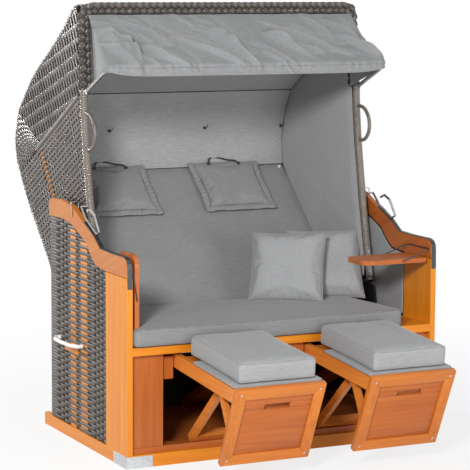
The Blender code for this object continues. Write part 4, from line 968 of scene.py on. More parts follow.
def make_braid():
    """Three flat bundles of strands plaited round the front of the roof."""
    form = Form()
    line = braid_line(0.0035)
    tangent = unit(np.gradient(line, axis=0))
    lateral = unit(np.cross(tangent, (0.0, -1.0, 0.0)))
    outward = np.cross(lateral, tangent)
    lobes = []
    for t in np.linspace(-1, 1, 17):
        crest = 1 - 0.26 * math.cos(4 * math.pi * t)
        lobes.append((BUNDLE_HALF * t, BUNDLE_RISE * math.sqrt(1 - 0.55 * t * t) * crest))
    ring = lobes + [(-a, -b) for a, b in lobes]
    turns = 2 * math.pi * run_of(line) / BRAID_REPEAT
    for k in range(3):
        phase = turns + 2 * math.pi * k / 3
        sideways, raised = BRAID_SWAY * np.sin(phase), BRAID_RISE * np.sin(2 * phase)
        centre = line + lateral * sideways[:, None] + outward * raised[:, None]
        form.sweep(centre, outward + lateral * (0.9 * np.sin(phase))[:, None], ring)
    angles = np.linspace(0, 2 * math.pi, 10, endpoint=False)
    # The core between the bundles is near-black: painted shade.
    form.sweep(line, outward, np.stack([np.cos(angles), np.sin(angles)], axis=1) * BRAID_CORE, 1)
    piece = form.make("plaited_front", [WICKER_DARK, PAINTED_SHADE], "hood")
    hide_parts("front_braid")


def make_strap_handle(word, side):
    """Loop handle on a post, wound like the post."""
    low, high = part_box(f"strap_handle_{word}")
    top, foot = high.z - 0.006, low.z + 0.006
    post = hood_places(POST_SHARES)
    line = []
    for out_share, fall in HANDLE_SHARES:
        z = top + (foot - top) * fall
        y = behind(float(np.interp(z, post[:, 1], post[:, 0]))) - POST_RADIUS - HANDLE_REACH * out_share
        line.append((side * WOUND_PLACE, y, z))
    form = Form()
    wound(form, line, HANDLE_RADIUS, HANDLE_TURN, HANDLE_GROOVE, 12)
    piece = form.make(f"loop_handle_{word}", [WICKER_POST], "hood")
    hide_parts(f"strap_handle_{word}")


# Soft goods

LINING_INNER = 0.5557
LINING_SKIN, LINING_PUFF = 0.005, 0.004
LINING_STEP, LINING_COLUMNS = 0.02, 84
LINING_FOOT, LINING_TOP = 0.418, 1.540
SEAM_WIDTH, WAVE_WIDTH, WAVE_SIZE = 0.016, 0.05, 0.055
PIPING_RADII = {"lining": 0.0016, "corner": 0.0019, "backrest": 0.0024, "pillow": 0.0019, "neck": 0.0016,
                "footrest": 0.0017, "seat": 0.0018, "pad": 0.0014}
BACKREST_THICKNESS, BACKREST_RISE = 0.026, 0.013
FOOT_BODY = {"left": "footrest_left", "right": "footrest_right"}
NECK_SIZES = {"left": (0.272, 0.236, 0.027), "right": (0.282, 0.236, 0.027)}
NECK_PLACES = {"left": -0.232, "right": 0.270}
BUTTON_PLACES = (-0.232, 0.188, 0.538)
BUTTON_DEPTH, BUTTON_HEIGHT = 1.101, 1.092
BUTTON_PROFILE = [(0.0005, -0.006), (0.0045, -0.006), (0.0062, -0.002), (0.0062, 0.001), (0.0035, 0.0035),
                  (0.0005, 0.004)]
WHITE_BUTTON_PROFILE = [(0.0005, -0.004), (0.006, -0.004), (0.0065, 0.0), (0.004, 0.003), (0.0005, 0.0035)]
LOOP_RISES = [(0.0, -0.004), (0.004, 0.010), (0.018, 0.025), (0.038, 0.028), (0.062, 0.020), (0.090, 0.008),
              (0.122, 0.004), (0.135, -0.006)]
LOOP_END = np.array((0.006, 0.004, 0.005))
PILLOW_SIZE, PILLOW_THICKNESS, PILLOW_LEAN = 0.300, 0.078, math.radians(30)
SEAT_SIZE = (1.070, 0.537, 0.064)
SEAT_SHIFT, SEAT_NARROWING = 0.062, 0.117
FOOTREST_SLOPE = math.radians(4.7)
FOOT_CUSHION_SIZE = (0.294, 0.406, 0.068)
FOOT_PAD_LENGTH, FOOT_PAD_THICKNESS = 0.332, 0.0105
CLOTH_SETTINGS = {"quality": 5, "mass": 0.15, "tension_stiffness": 25.0, "compression_stiffness": 12.0,
                  "shear_stiffness": 6.0, "bending_stiffness": 0.8, "use_pressure": True}
SWELL_FRAMES = 20


def add_slab(form, front, back):
    """A thin closed body between two grids of places."""
    n, m = front.shape[:2]
    size = n * m
    i, j = np.meshgrid(np.arange(n - 1), np.arange(m - 1), indexing="ij")
    a = (i * m + j).ravel()
    face = np.stack([a, a + m, a + m + 1, a + 1], axis=1)
    ring = [*range(m), *range(2 * m - 1, size, m), *range(size - 2, size - m - 1, -1),
            *range(size - 2 * m, 0, -m)]
    after = ring[1:] + ring[:1]
    faces = face.tolist() + (face[:, ::-1] + size).tolist()
    faces += [(p, q, q + size, p + size) for p, q in zip(ring, after)]
    facing = np.cross(front[1:, :-1] - front[:-1, :-1], front[:-1, 1:] - front[:-1, :-1])
    if np.sum(facing * (front - back)[:-1, :-1]) < 0:
        faces = [face[::-1] for face in faces]
    form.add(np.concatenate([front.reshape(-1, 3), back.reshape(-1, 3)]), faces)


def edge_distance(places):
    """Distance from each place of a grid to the nearest edge of the grid."""
    down = np.concatenate([np.zeros((1, places.shape[1])),
                           np.cumsum(np.linalg.norm(np.diff(places, axis=0), axis=2), axis=0)])
    level = np.concatenate([np.zeros((places.shape[0], 1)),
                            np.cumsum(np.linalg.norm(np.diff(places, axis=1), axis=2), axis=1)], axis=1)
    return np.minimum(np.minimum(down, down[-1:] - down), np.minimum(level, level[:, -1:] - level))


def ripple(places, size, seed):
    """Gentle unevenness of stretched cloth, from -1 to 1."""
    x, y, z = places[..., 0], places[..., 1], places[..., 2]
    a = np.sin((x * 1.3 + z * 0.9) / size + seed) * np.cos((y * 1.7 - x * 0.6) / size + 2.1 * seed)
    b = np.sin((z * 1.9 - y * 0.8 + x * 0.5) / (size * 0.53) + 1.7 * seed)
    return 0.65 * a + 0.35 * b


def soft_panel(form, places, normal, thickness, puff, seed, wave=0.0012):
    """A lightly stuffed panel that sinks to the seams at its edges."""
    near = edge_distance(places)
    lift = puff * (1 - np.exp(-(near / SEAM_WIDTH) ** 2))
    lift += wave * ripple(places, WAVE_SIZE, seed) * (1 - np.exp(-(near / WAVE_WIDTH) ** 2))
    normal = np.broadcast_to(np.asarray(normal, float), places.shape)
    add_slab(form, places + normal * lift[..., None], places - normal * thickness)


def piping(form, line, radius, look=1):
    """A sewn cord along a seam."""
    form.tube(even_path(np.asarray(line, float), 0.006), radius, look, 7)


def lining_path():
    """The lining's roof and back in side view, and its unit ways towards the seats."""
    line = smooth_corner(hood_places(LINING_SHARES), LINING_STEP)
    inward = inward_of(line)
    return line + inward * LINING_SKIN, inward


def smooth_corner(points, step):
    """Roof as a straight line, then a smooth curve down the back."""
    roof = even_path(points[:2], step)
    return np.concatenate([roof[:-1], smooth_path(points[1:], step)])


def lining_front(height):
    """Depth of the lining's front edge behind the posts and the braid."""
    low = hood_places(LINING_LOW_SHARES)[1:]
    posts = hood_places(POST_SHARES)[1:-1] + (WOUND_RADIUS - 0.001, 0)
    line = np.array([*low, *posts, (0.5375, POST_TOP), (0.573, 1.553)])
    return np.interp(height, line[:, 1], line[:, 0])


def lining_back(height):
    """Depth of the lining's rear edge: the roof, the back and the slope behind the backrest."""
    low = hood_places(LINING_LOW_SHARES)[:2]
    line = np.array([*lining_path()[0], *low])
    line = line[np.argsort(line[:, 1])]
    return np.interp(height, line[:, 1], line[:, 0])


def add_lining_roof(form, line, inward, seed):
    """One panel of the lining's roof or back, from its side view and ways towards the seats."""
    places = even_path(line, 0.012)
    shares = np.linspace(0, 1, len(places))
    way = unit(along(inward, np.linspace(0, 1, len(inward)), shares))
    width = np.linspace(-LINING_INNER + 0.001, LINING_INNER - 0.001, LINING_COLUMNS)
    grid = np.stack([np.broadcast_to(width[None, :], (len(places), LINING_COLUMNS)),
                     np.repeat(behind(places[:, :1]), LINING_COLUMNS, axis=1),
                     np.repeat(places[:, 1:], LINING_COLUMNS, axis=1)], axis=2)
    normal = np.repeat(-outwards(way)[:, None], LINING_COLUMNS, axis=1)
    soft_panel(form, grid, normal, LINING_SKIN - 0.001, LINING_PUFF, seed)


def make_hood_lining():
    """Roof, curved back and two sides of the hood's lining, sewn together."""
    form = Form()
    line, inward = lining_path()
    corner = len(even_path(hood_places(LINING_SHARES)[:2], LINING_STEP)) - 1
    add_lining_roof(form, line[:corner + 1], inward[:corner + 1], 0.4)
    add_lining_roof(form, line[corner:], inward[corner:], 1.9)
    heights = np.linspace(LINING_FOOT, LINING_TOP, 96)
    shares = np.linspace(0, 1, 48)
    front, back = lining_front(heights), lining_back(heights) - 0.001
    depths = front[:, None] + (back - front)[:, None] * shares
    seam = line + inward * 0.002
    for _, side in SIDES:
        places = np.stack([np.full(depths.shape, side * LINING_INNER), behind(depths),
                           np.repeat(heights[:, None], len(shares), axis=1)], axis=2)
        soft_panel(form, places, (-side, 0, 0), LINING_SKIN - 0.001, LINING_PUFF, 2.7 * side)
        piping(form, at_x(side * (LINING_INNER - 0.002), seam), PIPING_RADII["lining"])
    across = at_x((-LINING_INNER, LINING_INNER), seam[[corner, corner]])
    # The corner cord is near-black: painted shade in the crease.
    piping(form, across, PIPING_RADII["corner"], 2)
    for x in BUTTON_PLACES:
        add_button(form, x)
    piece = form.make("sewn_hood_lining", [LINING_GREY, GREY_PIPING, SEAM_SHADE, STRAP], "hood", angle=1.0)
    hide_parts("hood_lining")


def add_button(form, x):
    """A small dark button with its loop, to fasten a cushion to."""
    spot = Vector((x, behind(BUTTON_DEPTH - 0.010), BUTTON_HEIGHT))
    turn = Matrix.Translation(spot) @ Matrix.Rotation(math.radians(105), 4, "X")
    form.round_piece(BUTTON_PROFILE, 3, turn, 14)
    loop = [spot + Vector((0.004 + 0.009 * math.sin(a), -0.002, 0.001 + 0.010 * (1 - math.cos(a))))
            for a in np.linspace(0.2, 2.0, 8)]
    form.tube(loop, 0.0013, 3, 6)


def facing_matrix(place, way):
    """Moves a turned piece to a place with its axis along a way."""
    return Matrix.Translation(place) @ way.to_track_quat("Z", "Y").to_matrix().to_4x4()


def backrest_axes():
    """Foot of the backrest's face, the unit ways up it and out of it, and its length."""
    foot, top = [Vector((0, behind(d), z)) for d, z in hood_places(BACKREST_SHARES)]
    up = (top - foot).normalized()
    return foot, up, Vector((0, -up.z, up.y)), (top - foot).length


def make_backrest():
    """Padded backrest with a sewn edge and a small white button."""
    form = Form()
    foot, up, out, length = backrest_axes()
    half = LINING_INNER - 0.004
    width = np.linspace(-half, half, 100)
    rise = np.linspace(0.004, length + BACKREST_RISE, 66)
    places = (np.array(foot - out * 0.005) + width[None, :, None] * np.array((1.0, 0, 0))
              + rise[:, None, None] * np.array(up))
    soft_panel(form, places, out, BACKREST_THICKNESS - 0.006, 0.006, 0.8, 0.0016)
    lift = np.array(out) * 0.0005
    rim = [places[corner] + lift for corner in ((0, 0), (-1, 0), (-1, -1), (0, -1))]
    for start, end in zip(rim, rim[1:]):
        piping(form, [start, end], PIPING_RADII["backrest"])
    spot = foot + up * (length - 0.004) + Vector((half - 0.018, 0, 0))
    form.round_piece(WHITE_BUTTON_PROFILE, 3, facing_matrix(spot + out * 0.004, out), 14)
    piece = form.make("sewn_backrest", [GREY, GREY_PIPING, SEAM_SHADE, WHITE], "hood", angle=1.0)
    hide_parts("backrest")


def inflate(obj, cap, pressure):
    """Swells a closed cloth with air, lets no point move farther than the cap, and keeps the result."""
    cloth = obj.modifiers.new("cloth", "CLOTH")
    for key, value in CLOTH_SETTINGS.items():
        setattr(cloth.settings, key, value)
    cloth.settings.uniform_pressure_force = pressure
    cloth.settings.effector_weights.gravity = 0.0
    cloth.point_cache.frame_start = 1
    cloth.point_cache.frame_end = SWELL_FRAMES
    scene = bpy.context.scene
    for number in range(1, SWELL_FRAMES + 1):
        scene.frame_set(number)
    swollen = obj.evaluated_get(bpy.context.evaluated_depsgraph_get())
    before, after = places_of(obj.data), places_of(swollen.data)
    move = after - before
    reach = np.linalg.norm(move, axis=1, keepdims=True)
    move *= np.minimum(1.0, cap / np.maximum(reach, 1e-9))
    obj.modifiers.remove(cloth)
    scene.frame_set(1)
    obj.data.vertices.foreach_set("co", (before + move).ravel())
    obj.data.update()


def places_of(mesh):
    """Places of a mesh's points."""
    places = np.empty(len(mesh.vertices) * 3)
    mesh.vertices.foreach_get("co", places)
    return places.reshape(-1, 3)


def swollen_points(points, faces, cap, pressure=4.0):
    """Places of a cloth body after it has been inflated."""
    mesh = bpy.data.meshes.new("swelling")
    mesh.from_pydata(np.asarray(points).tolist(), [], [tuple(map(int, face)) for face in faces])
    mesh.update()
    obj = put("swelling", mesh)
    inflate(obj, cap, pressure)
    after = places_of(mesh)
    bpy.data.objects.remove(obj)
    bpy.data.meshes.remove(mesh)
    return after


def pillow_sheets(width, length, thickness, cells, pull):
    """Two sheets joined at their border: places, faces and the border's loop."""
    n = cells + 1
    share = np.linspace(-1, 1, n)
    u, v = np.meshgrid(share, share, indexing="ij")
    x = width / 2 * u * (1 - pull * (1 - v ** 2))
    y = length / 2 * v * (1 - pull * (1 - u ** 2))
    rise = thickness / 2 * ((1 - u ** 4) * (1 - v ** 4)) ** 0.55
    top = np.stack([x, y, rise], axis=2).reshape(-1, 3)
    border = (np.abs(u) == 1) | (np.abs(v) == 1)
    inner = np.flatnonzero(~border.ravel())
    lower = top[inner] * (1, 1, -1)
    index = np.arange(n * n)
    index[inner] = n * n + np.arange(len(inner))
    i, j = np.meshgrid(np.arange(cells), np.arange(cells), indexing="ij")
    a = (i * n + j).ravel()
    upper = np.stack([a, a + n, a + n + 1, a + 1], axis=1)
    faces = np.concatenate([upper, index[upper[:, ::-1]]])
    loop = [*range(0, n * n, n), *range(n * n - n + 1, n * n), *range(n * n - n - 1, 0, -n),
            *range(n - 2, 0, -1)]
    return np.concatenate([top, lower]), faces.tolist(), loop


def placed(points, centre, *ways):
    """Local places turned to three ways and moved."""
    return np.asarray(points) @ np.array([tuple(way) for way in ways]) + np.array(tuple(centre))


def pillow_axes(turn, lean):
    """Ways across, up and out of a pillow that stands turned and leans back."""
    out = Vector((-math.sin(turn) * math.cos(lean), -math.cos(turn) * math.cos(lean), math.sin(lean)))
    up = Vector((math.sin(lean) * math.sin(turn), math.sin(lean) * math.cos(turn), math.cos(lean)))
    return up.cross(out), up, out


def middle_of(node):
    """Middle of a part's box."""
    low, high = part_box(node)
    return (low + high) / 2


def edge_puckers(points, half, depth, pitch):
    """Small creases that run in from a pillow's seam."""
    angle = np.arctan2(points[:, 1], points[:, 0])
    reach = np.maximum(np.abs(points[:, 0]), np.abs(points[:, 1])) / half
    crease = np.sin(angle * pitch) * np.sin(angle * pitch * 0.37 + 1.0) + 0.4 * np.sin(angle * pitch * 2.3)
    fall = np.exp(-((1 - reach) / 0.16) ** 2) * (1 - np.exp(-((1 - reach) / 0.03) ** 2))
    moved = points.copy()
    moved[:, 2] += depth * crease * fall * np.sign(points[:, 2] + 1e-9)
    return moved


def make_throw_pillow(node, turn_degrees, seed):
    """Square loose pillow with a sewn edge and drawn-out corners."""
    points, faces, loop = pillow_sheets(PILLOW_SIZE, PILLOW_SIZE, PILLOW_THICKNESS, 56, 0.030)
    points = edge_puckers(points, PILLOW_SIZE / 2, 0.0022, 23 + 4 * seed)
    points = swollen_points(points, faces, 0.010)
    across, up, out = pillow_axes(math.radians(turn_degrees), PILLOW_LEAN)
    spots = placed(points, middle_of(node), across, up, out)
    form = Form()
    form.add(spots, faces)
    form.tube(spots[loop], PIPING_RADII["pillow"], 1, 6, True)
    piece = form.make(f"sewn_{node}", [PALE, PALE_PIPING], "base")
    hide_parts(node)


def make_neck_cushion(word):
    """Flat-bordered cushion that hangs over the backrest's top."""
    foot, up, out, length = backrest_axes()
    width, height, flange = NECK_SIZES[word]
    points, faces, loop = pillow_sheets(width, height, 0.038, 44, 0.015)
    points = edge_puckers(points, width / 2, 0.0018, 31)
    points = swollen_points(points, faces, 0.012)
    points[:, 2] = np.maximum(points[:, 2], -0.012)
    centre = foot + up * (length - height / 2 + 0.004) + out * 0.019 + Vector((NECK_PLACES[word], 0, 0))
    axes = (centre, Vector((1, 0, 0)), up, out)
    form = Form()
    form.add(placed(points, *axes), faces)
    border = points[loop]
    outward = unit(border * (1, 1, 0) + 1e-9)
    corner = np.minimum(np.abs(border[:, 0]), np.abs(border[:, 1])) / (width / 2)
    widths = 1 + 0.35 * np.clip((corner - 0.85) / 0.15, 0, 1)
    middle = border + outward * flange / 2 * (border[:, 1:2] < height / 2 - 0.004)
    run = run_of(middle)
    middle[:, 2] += 0.0026 * np.sin(run / 0.0031) * np.sin(run / 0.027) + 0.0018 * np.sin(run / 0.019)
    section = [(-flange / 2, -0.0016), (-flange / 2, 0.0016), (-0.004, 0.0024), (0.004, 0.0008),
               (flange / 2, 0.0020), (flange / 2, -0.0016)]
    form.sweep(placed(middle, *axes), out, section, 0, widths, True)
    form.tube(placed(border + (0, 0, 0.002), *axes), PIPING_RADII["neck"], 1, 6, True)
    piece = form.make(f"sewn_neck_cushion_{word}", [GREY_LIGHT, GREY_PIPING], "hood")
    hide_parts(f"neck_cushion_{word}")


def make_cushion_loop(word):
    """Dark flat loop that a neck cushion hangs on."""
    foot, up, out, length = backrest_axes()
    start = foot + up * (length + 0.008) + out * 0.030 + Vector((NECK_PLACES[word] - 0.068, 0, 0))
    line = smooth_path([start + Vector((a, 0, 0)) + up * b + out * 0.004 * math.sin(b * 130)
                        for a, b in LOOP_RISES], 0.004)
    form = Form()
    form.sweep(line, out, flat_section(0.0032, 0.0009))
    for place in (line[0], line[-1]):
        form.box(place - LOOP_END, place + LOOP_END, rounding=0.0012)
    piece = form.make(f"cushion_loop_{word}", [STRAP], "hood", angle=0.6)


def box_grid(size, cell):
    """A box of even cells: unit places, faces and the index of each lattice place."""
    counts = [max(2, int(round(s / cell))) for s in size]
    index, places, faces = {}, [], []
    for axis in range(3):
        a, b = (axis + 1) % 3, (axis + 2) % 3
        for end in (0, counts[axis]):
            for i in range(counts[a]):
                for j in range(counts[b]):
                    corners = [(i, j), (i + 1, j), (i + 1, j + 1), (i, j + 1)]
                    face = []
                    for p, q in corners if end else corners[::-1]:
                        key = [0, 0, 0]
                        key[axis], key[a], key[b] = end, p, q
                        key = tuple(key)
                        if key not in index:
                            index[key] = len(places)
                            places.append([2 * k / c - 1 for k, c in zip(key, counts)])
                        face.append(index[key])
                    faces.append(face)
    return np.array(places), faces, index, counts


def rim_loop(index, counts, level):
    """Lattice places round the box at one level."""
    nx, ny = counts[:2]
    ring = [(i, 0) for i in range(nx)] + [(nx, j) for j in range(ny)]
    ring += [(i, ny) for i in range(nx, 0, -1)] + [(0, j) for j in range(ny, 0, -1)]
    return [index[(i, j, level)] for i, j in ring]


def boxed_shape(unit_places, size, rounding, crown, pull):
    """Rounded, crowned box whose sides draw in between its corners."""
    half = np.array(size) / 2
    spots = unit_places * half
    core = np.clip(spots, -(half - rounding), half - rounding)
    away = spots - core
    length = np.linalg.norm(away, axis=1, keepdims=True)
    spots = core + away / np.maximum(length, 1e-9) * np.minimum(length, rounding)
    u, v, w = unit_places.T
    spots[:, 2] += crown * (1 - u ** 4) * (1 - v ** 4) * (w > 0) * np.abs(w)
    spots[:, 0] *= 1 - pull * (1 - v ** 2) * (1 - w ** 2 * 0.6)
    spots[:, 1] *= 1 - pull * (1 - u ** 2) * (1 - w ** 2 * 0.6)
    return spots


def footrest_axes(node, lowered=0.0):
    """Middle of a footrest's soft part, and ways across, along and out of its sloping rails."""
    rails = Vector((0, math.cos(FOOTREST_SLOPE), math.sin(FOOTREST_SLOPE)))
    out = Vector((0, -math.sin(FOOTREST_SLOPE), math.cos(FOOTREST_SLOPE)))
    return middle_of(node) - out * lowered, Vector((1, 0, 0)), rails, out


def make_footrest_cushion(word):
    """Boxed loose cushion on a footrest, with sewn edges."""
    node = f"footrest_cushion_{word}"
    places, faces, index, counts = box_grid(FOOT_CUSHION_SIZE, 0.0085)
    points = boxed_shape(places, FOOT_CUSHION_SIZE, 0.012, 0.006, 0.012)
    points = swollen_points(points, faces, 0.006, 3.0)
    points[:, 2] = np.maximum(points[:, 2], -0.036)
    spots = placed(points, *footrest_axes(node, 0.002))
    form = Form()
    form.add(spots, faces)
    for level in (counts[2], 0):
        form.tube(spots[rim_loop(index, counts, level)], PIPING_RADII["footrest"], 1, 6, True)
    piece = form.make(f"sewn_{node}", [PALE, PALE_PIPING], FOOT_BODY[word])
    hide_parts(node)
    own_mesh(piece)


def make_seat_cushion():
    """Long boxed seat cushion, narrower behind on the left, with sewn edges."""
    places, faces, index, counts = box_grid(SEAT_SIZE, 0.012)
    points = boxed_shape(places, SEAT_SIZE, 0.012, 0.007, 0.0)
    share = np.clip((points[:, 1] + SEAT_SIZE[1] / 2 - 0.085) / 0.03, 0, 1)
    share = share * share * (3 - 2 * share)
    left = points[:, 0] < 0
    points[left, 0] *= (1 - SEAT_NARROWING * share)[left]
    high = points[:, 2] > 0
    points[high, 2] -= 0.016 * (points[high, 1] / SEAT_SIZE[1] + 0.5)
    points = swollen_points(points, faces, 0.005, 3.0)
    points[:, 2] = np.maximum(points[:, 2], -0.034)
    low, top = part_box("seat_cushion")
    spots = points + np.array(Vector((-SEAT_SHIFT, (low.y + top.y) / 2, low.z + 0.035)))
    spots[:, 2] += np.where(points[:, 2] > 0, ripple(spots, 0.05, 1.3) * 0.0012, 0)
    form = Form()
    form.add(spots, faces)
    for level in (counts[2], 0):
        form.tube(spots[rim_loop(index, counts, level)], PIPING_RADII["seat"], 1, 6, True)
    piece = form.make("sewn_seat_cushion", [SEAT_GREY, GREY_PIPING], "base")
    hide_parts("seat_cushion")


def make_footrest_pad(word):
    """Thin padded cover stretched over a footrest's rails."""
    node = f"footrest_pad_{word}"
    low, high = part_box(node)
    size = (high.x - low.x - 0.003, FOOT_PAD_LENGTH, FOOT_PAD_THICKNESS)
    places, faces, index, counts = box_grid(size, 0.010)
    axes = footrest_axes(node)
    spots = placed(boxed_shape(places, size, 0.004, 0.0, 0.004), *axes)
    form = Form()
    form.add(spots, faces)
    rim = spots[rim_loop(index, counts, counts[2])] - np.array(axes[3]) * 0.001
    form.tube(rim, PIPING_RADII["pad"], 1, 6, True)
    piece = form.make(f"sewn_{node}", [PALE, PALE_PIPING], FOOT_BODY[word])
    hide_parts(node)


# Fittings and footrest fronts

SCREW_PROFILE = [(0.0002, -0.0010), (0.0042, -0.0010), (0.0042, 0.0004), (0.0030, 0.0012), (0.0004, 0.0012)]
BOARD_SCREW_HEIGHTS = (0.700, 0.640)
STAPLE_PLACE, STAPLE_LIFT, STAPLE_RADIUS = 0.134, 0.0024, 0.0022
BLOCK_DEPTHS, BLOCK_HEIGHTS = (0.456, 0.585), (0.326, 0.357)
POST_PLATE = ((0.566, 0.0040, 0.560), (0.566, 0.0270, 0.668), (0.553, 0.058, 0.519))
BOW_PLATE = ((0.5710, 0.118, 1.279), (0.5745, 0.172, 1.296))
FOOT_PANEL_LEAN = math.radians(24.5)
FOOT_PANEL_THICKNESS, FOOT_PANEL_BORDER, FOOT_PANEL_LENGTH = 0.022, 0.040, 0.310
GRIP_HALF, GRIP_HEIGHTS = 0.049, (-0.068, -0.090)


def add_screw(form, place, facing, look=0):
    """A domed screw head on a surface."""
    form.round_piece(SCREW_PROFILE, look, facing_matrix(place, Vector(facing)), 12)


def make_base_fittings(word, side):
    """Screws of the corner plate and the front board, the wire staple over the arm and a wood block."""
    form = Form()
    low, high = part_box(f"corner_plate_{word}")
    middle = (low.z + high.z) / 2
    for share in (0.25, 0.75):
        add_screw(form, (low.x + (high.x - low.x) * share, low.y, middle), (0, -1, 0))
    add_screw(form, (side * high.x if side > 0 else low.x, low.y + 0.080, middle), (side, 0, 0))
    for height in BOARD_SCREW_HEIGHTS:
        add_screw(form, (side * (BASE_HALF - BOARD), FRONT + 0.012, height), (-side, 0, 0))
    outside, inside = side * (BASE_HALF + STAPLE_LIFT), side * (BASE_HALF - BOARD - STAPLE_LIFT)
    top = (STAPLE_PLACE + 0.003, ARM_HEIGHT + STAPLE_LIFT)
    staple = [(outside, STAPLE_PLACE, 0.832), (outside, STAPLE_PLACE + 0.002, 0.868), (outside, *top),
              (inside, *top), (inside, STAPLE_PLACE + 0.002, 0.860)]
    form.tube(smooth_path(staple, 0.004), STAPLE_RADIUS, 1)
    form.side_box(side, (BASE_HALF - 0.008, behind(BLOCK_DEPTHS[0]), BLOCK_HEIGHTS[0]),
                  (BASE_HALF + 0.0014, behind(BLOCK_DEPTHS[1]), BLOCK_HEIGHTS[1]), 2, 0.0012)
    piece = form.make(f"base_fittings_{word}", [ZINC, CHROME, WOOD_Y], "base", angle=0.7)


def make_hood_fittings(word, side):
    """Plate and dark strip at a post's foot, and the plate that holds the awning's bow."""
    form = Form()
    foot, top, strip_end = [(side * x, y, z) for x, y, z in POST_PLATE]
    section = flat_section(0.0065, 0.0010)
    form.sweep(even_path([foot, top], 0.02), (0.0, -1.0, 0.0), section)
    for share in (0.15, 0.85):
        add_screw(form, Vector(foot).lerp(Vector(top), share) + Vector((0, -0.001, 0)), (0, -1, 0.2))
    form.sweep(even_path([foot, strip_end], 0.02), (0.0, -1.0, -0.6), section, 1)
    form.side_box(side, *BOW_PLATE, 0, 0.001)
    piece = form.make(f"hood_fittings_{word}", [ZINC, STRAP], "hood", angle=0.7)


def panel_piece(form, corners, front, back, look, turn):
    """A flat piece of a footrest's front panel from its corners, with eased edges."""
    shape = bmesh.new()
    near = [shape.verts.new((a, front, u)) for a, u in corners]
    far = [shape.verts.new((a, back, u)) for a, u in corners]
    shape.faces.new(near)
    shape.faces.new(far[::-1])
    for k in range(len(corners)):
        after = (k + 1) % len(corners)
        shape.faces.new((near[after], near[k], far[k], far[after]))
    bmesh.ops.recalc_face_normals(shape, faces=shape.faces[:])
    ease(shape, 0.0014)
    form.take(shape, look, turn)


def rectangle(left, right, top, bottom):
    """Corners of a rectangle, clockwise from the upper left."""
    return [(left, top), (right, top), (right, bottom), (left, bottom)]


def make_footrest_front(word):
    """Mitred bars round a redder board with a grip slot, screwed at the corners."""
    low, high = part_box(f"footrest_panel_{word}")
    thick, border, length = FOOT_PANEL_THICKNESS, FOOT_PANEL_BORDER, FOOT_PANEL_LENGTH
    turn = (Matrix.Translation((low.x, low.y, high.z - thick * math.sin(FOOT_PANEL_LEAN)))
            @ Matrix.Rotation(FOOT_PANEL_LEAN, 4, "X"))
    width = high.x - low.x
    form = Form()
    ends = rectangle(0, width, 0, -length)
    inner = rectangle(border, width - border, -border, border - length)
    for k in range(4):
        after = (k + 1) % 4
        panel_piece(form, [ends[k], ends[after], inner[after], inner[k]], 0.0, thick, k % 2, turn)
    edge = border + 0.0006
    x_marks = (edge, width / 2 - GRIP_HALF, width / 2 + GRIP_HALF, width - edge)
    u_marks = (-edge, *GRIP_HEIGHTS, edge - length)
    for first, last, top, bottom in ((0, 3, 0, 1), (0, 1, 1, 2), (2, 3, 1, 2), (0, 3, 2, 3)):
        corners = rectangle(x_marks[first], x_marks[last], u_marks[top], u_marks[bottom])
        panel_piece(form, corners, 0.006, thick - 0.002, 2, turn)
    for a, u in rectangle(border / 2, width - border / 2, -border / 2, border / 2 - length):
        add_screw(form, turn @ Vector((a, 0.0, u)), turn.to_3x3() @ Vector((0, -1, 0)), 3)
    piece = form.make(f"framed_panel_{word}", [FRAME_X, FRAME_Z, RED_X, ZINC], FOOT_BODY[word], angle=0.6)
    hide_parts(f"footrest_panel_{word}")


def make_side_lining(word, side):
    """Cloth panel on the inside of a base side."""
    node = f"side_lining_{word}"
    low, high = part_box(node)
    x = low.x if side > 0 else high.x
    depths = np.linspace(low.y - FRONT + 0.002, high.y - FRONT - 0.002, 40)
    tops = np.minimum(arm_low_height(depths) - 0.004, high.z - 0.001)
    foot = low.z + 0.002
    heights = foot + (tops - low.z - 0.002)[None, :] * np.linspace(0, 1, 32)[:, None]
    places = np.stack([np.full(heights.shape, x + side * 0.0008),
                       behind(np.broadcast_to(depths, heights.shape)), heights], axis=2)
    form = Form()
    soft_panel(form, places, (-side, 0, 0), 0.0016, 0.0012, 3.1 * side, 0.0005)
    piece = form.make(f"sewn_{node}", [GREY], "base")
    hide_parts(node)


# Awning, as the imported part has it
AWNING_HALF = 0.5685
AWNING_TOP_HALF = 0.556
AWNING_RADIUS, AWNING_CLOTH, AWNING_HEM = 0.008, 0.0022, 0.020
AWNING_CLEAR = AWNING_RADIUS + 0.010
AWNING_COLUMNS, AWNING_ROWS = 361, 72
AWNING_SAG = 0.008
MAIN_SHARE, BOW_SHARE, SEAM_SHARE = 0.88, 0.88, 0.91
HEM_SECTION = [(-0.0036, -0.0018), (-0.0032, 0.0022), (0.0032, 0.0022), (0.0036, -0.0018)]

# Diagonal pulls of the cloth: start, slope, bend, first, length, width and height
PULL_COUNT, PULL_SEED, PULL_LIFT, PUCKER_LIFT = 40, 11, 0.034, 0.0028
PULL_RANGES = ((-0.85, 0.62), (0.16, 0.46), (-0.12, 0.12), (-0.1, 0.5), (0.35, 0.9), (0.006, 0.027),
               (0.4, 1.0))


def smoothed(grid, count, times):
    """A grid of places softened along its second way, with its two ends kept."""
    for _ in range(times):
        padded = np.concatenate([np.repeat(grid[:, :1], count, axis=1), grid,
                                 np.repeat(grid[:, -1:], count, axis=1)], axis=1)
        total = np.cumsum(np.concatenate([np.zeros_like(padded[:, :1]), padded], axis=1), axis=1)
        soft = (total[:, 2 * count + 1:] - total[:, :-2 * count - 1]) / (2 * count + 1)
        end = np.minimum(np.arange(grid.shape[1]), np.arange(grid.shape[1])[::-1])
        keep = np.clip(1 - end / count, 0, 1)[None, :, None]
        grid = soft * (1 - keep) + grid * keep
    return grid


